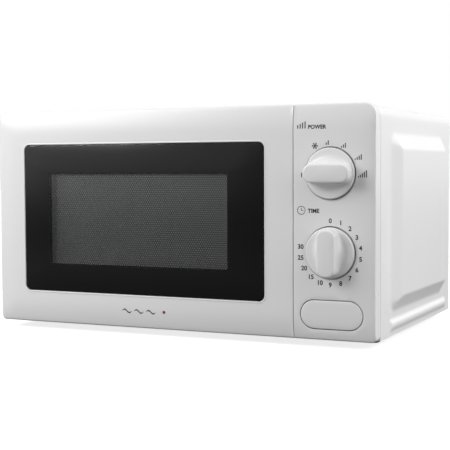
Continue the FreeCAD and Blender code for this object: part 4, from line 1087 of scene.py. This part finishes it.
class OVEN_OT_cabinet(OvenOperator):
    """Pressed steel wrap with a raised panel and a rib on each side"""
    bl_idname = "oven.cabinet"
    bl_label = "Cabinet Wrap"

    def execute(self, context):
        sizes = context.scene.oven_cabinet
        half, top = RIGHT, CABINET[1][2]
        front, back = CABINET[0][1] + sizes.seam / MM, CABINET[1][1]
        sheet, corner, flange = (v / MM for v in (sizes.sheet, sizes.corner, sizes.flange))
        bevel, rise = sizes.plateau_bevel / MM, sizes.plateau_raise / MM
        rib_bevel, rib_rise = sizes.rib_bevel / MM, sizes.rib_raise / MM
        plateau = (FRONT + 50, FRONT + 253, LOW + 25, LOW + 203)
        rib = (FRONT + 47, FRONT + 268, LOW + 5, LOW + 17)

        def proud(y, z):
            return (pressing(y, z, plateau, 12.0, bevel, rise, (1.8, 1.3))
                    + pressing(y, z, rib, 1.5, rib_bevel, rib_rise, (1.6, 1.4)))

        bend = 1.4               # rounding from the sides to the rear flange
        levels = lines([(LOW, 1.5), (LOW + 24, 1.3), (LOW + 46, 8.0), (LOW + 182, 1.3),
                        (LOW + 209, 3.0), (top - corner, 0)])
        depths = lines([(front, 4.0), (FRONT + 42, 1.4), (FRONT + 72, 8.0), (FRONT + 232, 1.4),
                        (FRONT + 276, 3.0), (back - bend, 0)])
        rows = [(y, 0.0, True) for y in depths]
        for i in range(1, 6):
            angle = math.pi / 10 * i
            rows.append((back - bend + bend * math.sin(angle), bend * (1 - math.cos(angle)), False))
        rows += [(back, bend + (flange - bend) * t, False) for t in (0.5, 1.0)]

        def section(inset):
            """Arch from the lower left to the lower right, moved in by an inset."""
            x, z, radius = half - inset, top - inset, max(corner - inset, 0.8)
            shift = corner - inset - radius      # none until the radius is at its least
            left = [(-x, level) for level in levels[:-1]] + [(-x, top - corner)]
            arc = [(-(half - corner) - radius * math.cos(a) - shift,
                    top - corner + radius * math.sin(a) + shift)
                   for a in (math.pi / 16 * i for i in range(1, 9))]
            over = [(-(half - corner) + (2 * half - 2 * corner) * i / 30, z) for i in range(1, 30)]
            return left + arc + over + [(-px, pz) for px, pz in reversed(left + arc)]

        shell = Shell()
        made = []
        for y, inset, pressed in rows:
            points = []
            for x, z in section(inset):
                push = proud(y, z) if pressed and z < top - corner else 0.0
                points.append((x + math.copysign(push, x), y, z))
            made.append(shell.row(points))
        shell.skin(made, closed=False)
        wrap = new_piece("cabinet_wrap", shell, None, None, finish("powder_coat"), soften=None)
        thick = wrap.modifiers.new("sheet", "SOLIDIFY")
        thick.thickness, thick.offset, thick.use_even_offset = sheet * MM, -1.0, True
        bake_modifiers(wrap)
        hems = Shell()           # the lower edges are folded in
        for side in (-1, 1):
            ends = sorted((side * (half - 0.4), side * (half - 3.5)))
            hems.box((ends[0], front + 0.3, LOW + 0.02), (ends[1], back - 1.2, LOW + 0.92))
        carve(wrap, hems, "UNION")
        slots, spacing, half_slot, tall = 10, 8, 1.6, 32      # air slots in the left side
        cuts = Shell()
        for i in range(slots):
            y, z = FRONT + 222 - spacing * i, LOW + 174
            cuts.box((-half - 12, y - half_slot, z - tall), (-half + 2, y + half_slot, z))
        carve(wrap, cuts)
        smooth(wrap, 32)
        place(wrap, "chassis", "cabinet_enamel", "outer_cabinet")
        return {"FINISHED"}


def lines(stops):
    """Positions from stop to stop, at the spacing that each stop gives."""
    places = []
    for (start, step), (end, _) in zip(stops, stops[1:]):
        count = max(1, round((end - start) / step))
        places += [start + (end - start) * i / count for i in range(count)]
    return places + [stops[-1][0]]


def pressing(y, z, area, corner, bevel, rise, soft):
    """Height of a pressed panel at a place: a rounded rectangle with sloping sides, its foot and
    its top edge softened over the given widths."""
    y0, y1, z0, z1 = area
    qy = abs(y - (y0 + y1) / 2) - (y1 - y0) / 2 + corner
    qz = abs(z - (z0 + z1) / 2) - (z1 - z0) / 2 + corner
    depth = corner - math.hypot(max(qy, 0), max(qz, 0)) - min(max(qy, qz), 0)

    def ramp(d, width):
        if d <= -width:
            return 0.0
        return d if d >= width else (d + width) ** 2 / (4 * width)

    return rise / bevel * (ramp(depth, soft[0]) - ramp(depth - bevel, soft[1]))


class OVEN_OT_legends(OvenOperator):
    """Printed figures and signs of the panel, and a plain mark on the door"""
    bl_idname = "oven.legends"
    bl_label = "Printed Legends"

    def execute(self, context):
        panel = Shell()
        self.bars(panel, (139.9, 215.9), 4, spacing=2.55, first=3.4, width=1.15)
        self.words(panel, "POWER", (151.2, 217.5 - 1.95), 5.35, "LEFT")
        for x, z, count, height in ((144.0, 168.2, 1, 4.5), (169.7, 199.7, 2, 4.3),
                                    (185.2, 196.7, 3, 4.6), (199.2, 185.0, 4, 5.2),
                                    (202.4, 168.0, 5, 6.8)):
            self.bars(panel, (x, z), count, spacing=2.0, first=height / count, width=1.0,
                      tallest=height)
        self.snowflake(panel, (158.4, 198.8), 3.3)
        self.clock(panel, (144.2, 135.7), 4.3)
        self.words(panel, "TIME", (151.0, 133.4), 5.6, "LEFT")
        x, _, z = DIALS["timer"]
        figures = [(str(n), 20 * n) for n in range(10)]      # minutes, and degrees from the top
        figures += [("10", 200), ("15", 220), ("20", 240), ("25", 260), ("30", 280)]
        radius = 31.4
        for text, degrees in figures:
            a = math.radians(degrees)
            self.words(panel, text, (x + radius * math.sin(a), z + radius * math.cos(a) - 2.1),
                       6.2, "CENTER")
        new_piece("panel_legends", panel, "chassis", "white_moulding", finish("ink"), soften=None,
                  welded=True)
        door = Shell()
        for i in range(3):
            self.wave(door, (-55.0 + 14.5 * i, 26.0), 11.5, 3.4, 1.6)
        new_piece("door_mark", door, "door", "white_moulding", finish("ink"), soften=None)
        dot = Shell()
        self.stamp(dot, ring((-10.2, 26.6), 1.7, 32))
        new_piece("door_mark_dot", dot, "door", "white_moulding", finish("ink_dot"), soften=None)
        return {"FINISHED"}

    def stamp(self, shell, points):
        """A thin closed plate on the face."""
        rows = [shell.sunk(points, sink) for sink in INK]
        shell.band(*rows)
        for row in rows:
            shell.sheet(row)

    def bar(self, shell, centre, width, height, angle=0.0):
        """A straight stroke, turned about its middle."""
        c, s = math.cos(angle), math.sin(angle)
        corners = [(u * width / 2, v * height / 2) for u, v in ((-1, -1), (1, -1), (1, 1), (-1, 1))]
        self.stamp(shell, [(centre[0] + u * c - v * s, centre[1] + u * s + v * c)
                           for u, v in corners])

    def bars(self, shell, start, count, spacing, first, width, tallest=None):
        """Rising bars that show how strong a setting is."""
        tallest = tallest or first * 2
        for i in range(count):
            height = tallest if count == 1 else first + (tallest - first) * i / (count - 1)
            self.bar(shell, (start[0] + spacing * i + width / 2, start[1] + height / 2),
                     width, height)

    def snowflake(self, shell, centre, radius):
        """Six arms with two barbs each: the sign for defrosting."""
        for angle in turns(6):
            out = (math.cos(angle), math.sin(angle))
            self.bar(shell, (centre[0] + out[0] * radius / 2, centre[1] + out[1] * radius / 2),
                     0.75, radius, angle - math.pi / 2)
            for side in (-1, 1):
                lean = angle + side * math.radians(50)
                root = (centre[0] + out[0] * radius * 0.55, centre[1] + out[1] * radius * 0.55)
                reach = radius * 0.3
                self.bar(shell, (root[0] + math.cos(lean) * reach / 2,
                                 root[1] + math.sin(lean) * reach / 2), 0.6, reach,
                         lean - math.pi / 2)

    def clock(self, shell, centre, radius):
        """A ring with two hands."""
        stroke = 0.6
        rows = [shell.sunk(ring(centre, r, 40), sink)
                for sink in INK for r in (radius, radius - stroke)]
        for one, two in ((0, 1), (0, 2), (1, 3), (2, 3)):
            shell.band(rows[one], rows[two])
        self.bar(shell, (centre[0], centre[1] + 1.2), 0.55, 2.9)
        self.bar(shell, (centre[0] + 1.1, centre[1] - 0.1), 2.2, 0.55)

    def wave(self, shell, centre, long, high, thick):
        """A short wavy stroke with tapering ends."""
        steps = 24
        upper, lower = [], []
        for i in range(steps + 1):
            t = i / steps
            x = centre[0] - long / 2 + long * t
            z = centre[1] + high / 2 * math.sin(2 * math.pi * t)
            half = thick / 2 * math.sqrt(max(0.08, math.sin(math.pi * t)))
            upper.append((x, z + half))
            lower.append((x, z - half))
        self.stamp(shell, lower + upper[::-1])

    def words(self, shell, text, start, size, align):
        """Figures or a plain word, standing on the start point."""
        curve = bpy.data.curves.new("legend", "FONT")
        curve.body, curve.size, curve.align_x = text, size, align
        curve.extrude, curve.resolution_u, curve.offset = 0.5, 4, 0.2
        holder = bpy.data.objects.new("legend", curve)
        bpy.context.scene.collection.objects.link(holder)
        graph = bpy.context.evaluated_depsgraph_get()
        mesh = bpy.data.meshes.new_from_object(holder.evaluated_get(graph))
        bpy.data.objects.remove(holder)
        first = len(shell.points)
        for vertex in mesh.vertices:
            x, z = start[0] + vertex.co.x, start[1] + vertex.co.y
            shell.points.append((x, front_face(x, z) + INK[0 if vertex.co.z > 0 else 1], z))
        shell.faces += [tuple(first + v for v in face.vertices) for face in mesh.polygons]
        bpy.data.meshes.remove(mesh)


class OVEN_OT_springs(OvenOperator):
    """Coil springs of the latch and the release lever"""
    bl_idname = "oven.springs"
    bl_label = "Springs"

    def execute(self, context):
        self.spring("latch_spring", "door", "latch_lift", 0.35, 6.05)
        self.spring("lever_spring", "chassis", "lever_turn", 0.45, 5.3)
        return {"FINISHED"}

    def spring(self, node, body, joint, wire, travel):
        """Round wire wound between the ends of the CAD spring. The travel is not used."""
        low, high = box_mm(node)
        x, y = (low[0] + high[0]) / 2, (low[1] + high[1]) / 2
        radius, length = (high[0] - low[0]) / 2 - wire, high[2] - low[2]
        coils, steps = 6, 24
        shell = Shell()
        rows = []
        for i in range(coils * steps + 1):
            a = 2 * math.pi * i / steps
            z = low[2] + wire + (length - 2 * wire) * i / (coils * steps)
            rows.append(shell.row([(x + (radius + wire * math.cos(b)) * math.cos(a),
                                    y + (radius + wire * math.cos(b)) * math.sin(a),
                                    z + wire * math.sin(b)) for b in turns(10)]))
        shell.skin(rows)
        shell.faces += [tuple(rows[0]), tuple(rows[-1])]
        piece = new_piece(node + "_coil", shell, body, "spring_steel", finish("spring"), [node],
                          soften=50)
        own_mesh(piece)


class OVEN_OT_fittings(OvenOperator):
    """Finishes of the parts that keep their CAD shape"""
    bl_idname = "oven.fittings"
    bl_label = "Fittings"

    def execute(self, context):
        for name, nodes in FITTINGS.items():
            for node in nodes:
                slots = frame["nodes"][node].data.materials
                for i in range(len(slots)):
                    slots[i] = finish(name)
        return {"FINISHED"}


class OVEN_OT_studio(OvenOperator):
    """Camera, pale floor and soft light"""
    bl_idname = "oven.studio"
    bl_label = "Studio"

    def execute(self, context):
        studio = context.scene.oven_studio
        self.camera(context, studio)
        self.floor(context)
        self.light(context, studio)
        context.scene.view_settings.view_transform = "Standard"
        return {"FINISHED"}

    def camera(self, context, studio):
        """Camera turned by yaw, pitch and roll, in that order."""
        yaw, pitch, roll = studio.yaw, studio.pitch, studio.roll
        ahead = Vector((-math.sin(yaw) * math.cos(pitch), math.cos(yaw) * math.cos(pitch),
                        math.sin(pitch)))
        side = ahead.cross(Vector((0, 0, 1))).normalized()
        up = side.cross(ahead)
        across = side * math.cos(roll) + up * math.sin(roll)
        upward = up * math.cos(roll) - side * math.sin(roll)
        data = bpy.data.cameras.new("camera")
        data.lens, data.sensor_width = studio.lens, 36.0
        data.clip_start, data.clip_end = 0.02, 50.0
        camera = bpy.data.objects.new("camera", data)
        context.scene.collection.objects.link(camera)
        turn = Matrix((across, upward, -ahead)).transposed()
        camera.matrix_world = Matrix.Translation(Vector(studio.eye)) @ turn.to_4x4()
        context.scene.camera = camera

    def floor(self, context):
        """Wide disc of matt board."""
        radius = 8               # metres
        mesh = bpy.data.meshes.new("studio_floor")
        points = [(x, y, 0) for x, y in ring((0, 0), radius)]
        mesh.from_pydata(points, [], [tuple(range(len(points)))])
        mesh.materials.append(self.board())
        floor = bpy.data.objects.new("studio_floor", mesh)
        context.scene.collection.objects.link(floor)

    def board(self):
        """Matt white board, lit from below for the camera. It throws back less light than white
        board does, so that the oven's lower faces keep their shade."""
        material, tree, shader = new_finish("board_white_matt",
                                            {"IOR": 1.4, "Specular IOR Level": 0.1})
        mottle(tree, shader, "#6A6A6A", "#666666", 40.0, (0.75, 0.85))
        seen = add_node(tree, "ShaderNodeBsdfPrincipled",
                        {"Base Color": rgba("#D2D2D2"), "Roughness": 0.9,
                         "Emission Color": rgba("#FFFFFF"), "Emission Strength": 0.8})
        show_to(tree, "Is Camera Ray", shader, seen)
        return material

    def soft_box(self, context, name, eye, target, size, power):
        """A square lamp that looks at a point."""
        data = bpy.data.lights.new(name, "AREA")
        data.energy, data.size = power, size
        lamp = bpy.data.objects.new(name, data)
        lamp.location = eye
        lamp.rotation_euler = (Vector(target) - Vector(eye)).to_track_quat("-Z", "Y").to_euler()
        context.scene.collection.objects.link(lamp)

    def light(self, context, studio):
        """A light tent: even light with soft bright areas above, left, right and behind, and a
        soft box at the upper left. The camera sees plain white behind the oven."""
        self.soft_box(context, "key_box", (-0.85, -0.88, 0.78), (0.0, -0.1, 0.15), 0.8, studio.key)
        world = bpy.data.worlds.new("studio_tent")
        world.use_nodes = True
        context.scene.world = world
        tree = world.node_tree
        tree.nodes.clear()
        where = add_node(tree, "ShaderNodeTexCoord").outputs["Generated"]
        total = None
        for direction, sharpness, strength in ((Vector((0, -0.2, 1)), 1.6, studio.overhead),
                                               (Vector((-1, -0.9, 0.1)), 12.0, studio.left),
                                               (Vector((1, 0.13, 0.5)), 6.0, studio.right),
                                               (Vector((0.2, 1, 0.1)), 2.0, studio.back)):
            facing = add_node(tree, "ShaderNodeVectorMath",
                              {"operation": "DOT_PRODUCT", 1: direction.normalized()}, {0: where})
            lit = add_node(tree, "ShaderNodeMath", {"operation": "MAXIMUM", 1: 0.0},
                           {0: facing.outputs["Value"]})
            lobe = add_node(tree, "ShaderNodeMath", {"operation": "POWER", 1: sharpness},
                            {0: lit.outputs[0]})
            total = add_node(tree, "ShaderNodeMath", {"operation": "MULTIPLY_ADD", 1: strength,
                                                      2: studio.ambient},
                             {0: lobe.outputs[0]} if total is None else
                             {0: lobe.outputs[0], 2: total.outputs[0]})
        tent = add_node(tree, "ShaderNodeBackground", {"Color": rgba("#FFFFFF")},
                        {"Strength": total.outputs[0]})
        seen = add_node(tree, "ShaderNodeBackground", {"Color": rgba("#FFFFFF"), "Strength": 1.0})
        add_node(tree, "ShaderNodeOutputWorld")
        show_to(tree, "Is Camera Ray", tent, seen)


class OVEN_PT_looks(bpy.types.Panel):
    """Steps and sizes of the oven's looks"""
    bl_idname = "OVEN_PT_looks"
    bl_label = "Microwave Oven"
    bl_space_type = "VIEW_3D"
    bl_region_type = "UI"
    bl_category = "Oven"

    def draw(self, context):
        layout = self.layout
        for step in STEPS:
            layout.operator(step.bl_idname)
        for name in SETTINGS:
            part = layout.box()
            part.label(text=name.replace("_", " ").title())
            group = getattr(context.scene, name)
            for key in group.bl_rna.properties.keys():
                if key not in {"rna_type", "name"}:
                    part.prop(group, key)


SETTINGS = {
    "oven_front": OvenFront, "oven_window": OvenWindow, "oven_dials": OvenDials,
    "oven_cabinet": OvenCabinet, "oven_colours": OvenColours, "oven_studio": OvenStudio,
}
STEPS = (OVEN_OT_studio, OVEN_OT_door, OVEN_OT_window, OVEN_OT_panel, OVEN_OT_dials,
         OVEN_OT_cabinet, OVEN_OT_legends, OVEN_OT_springs, OVEN_OT_fittings)


def register():
    for part in (*SETTINGS.values(), *STEPS, OVEN_PT_looks):
        bpy.utils.register_class(part)
    for name, group in SETTINGS.items():
        setattr(bpy.types.Scene, name, PointerProperty(type=group))


def unregister():
    for name in SETTINGS:
        delattr(bpy.types.Scene, name)
    for part in reversed((*SETTINGS.values(), *STEPS, OVEN_PT_looks)):
        bpy.utils.unregister_class(part)


def main():
    register()
    for step in STEPS:
        group, name = step.bl_idname.split(".")
        result = getattr(getattr(bpy.ops, group), name)()
        if "FINISHED" not in result:
            raise RuntimeError(step.bl_label + " didn't finish")


if __name__ == "__main__":
    main()
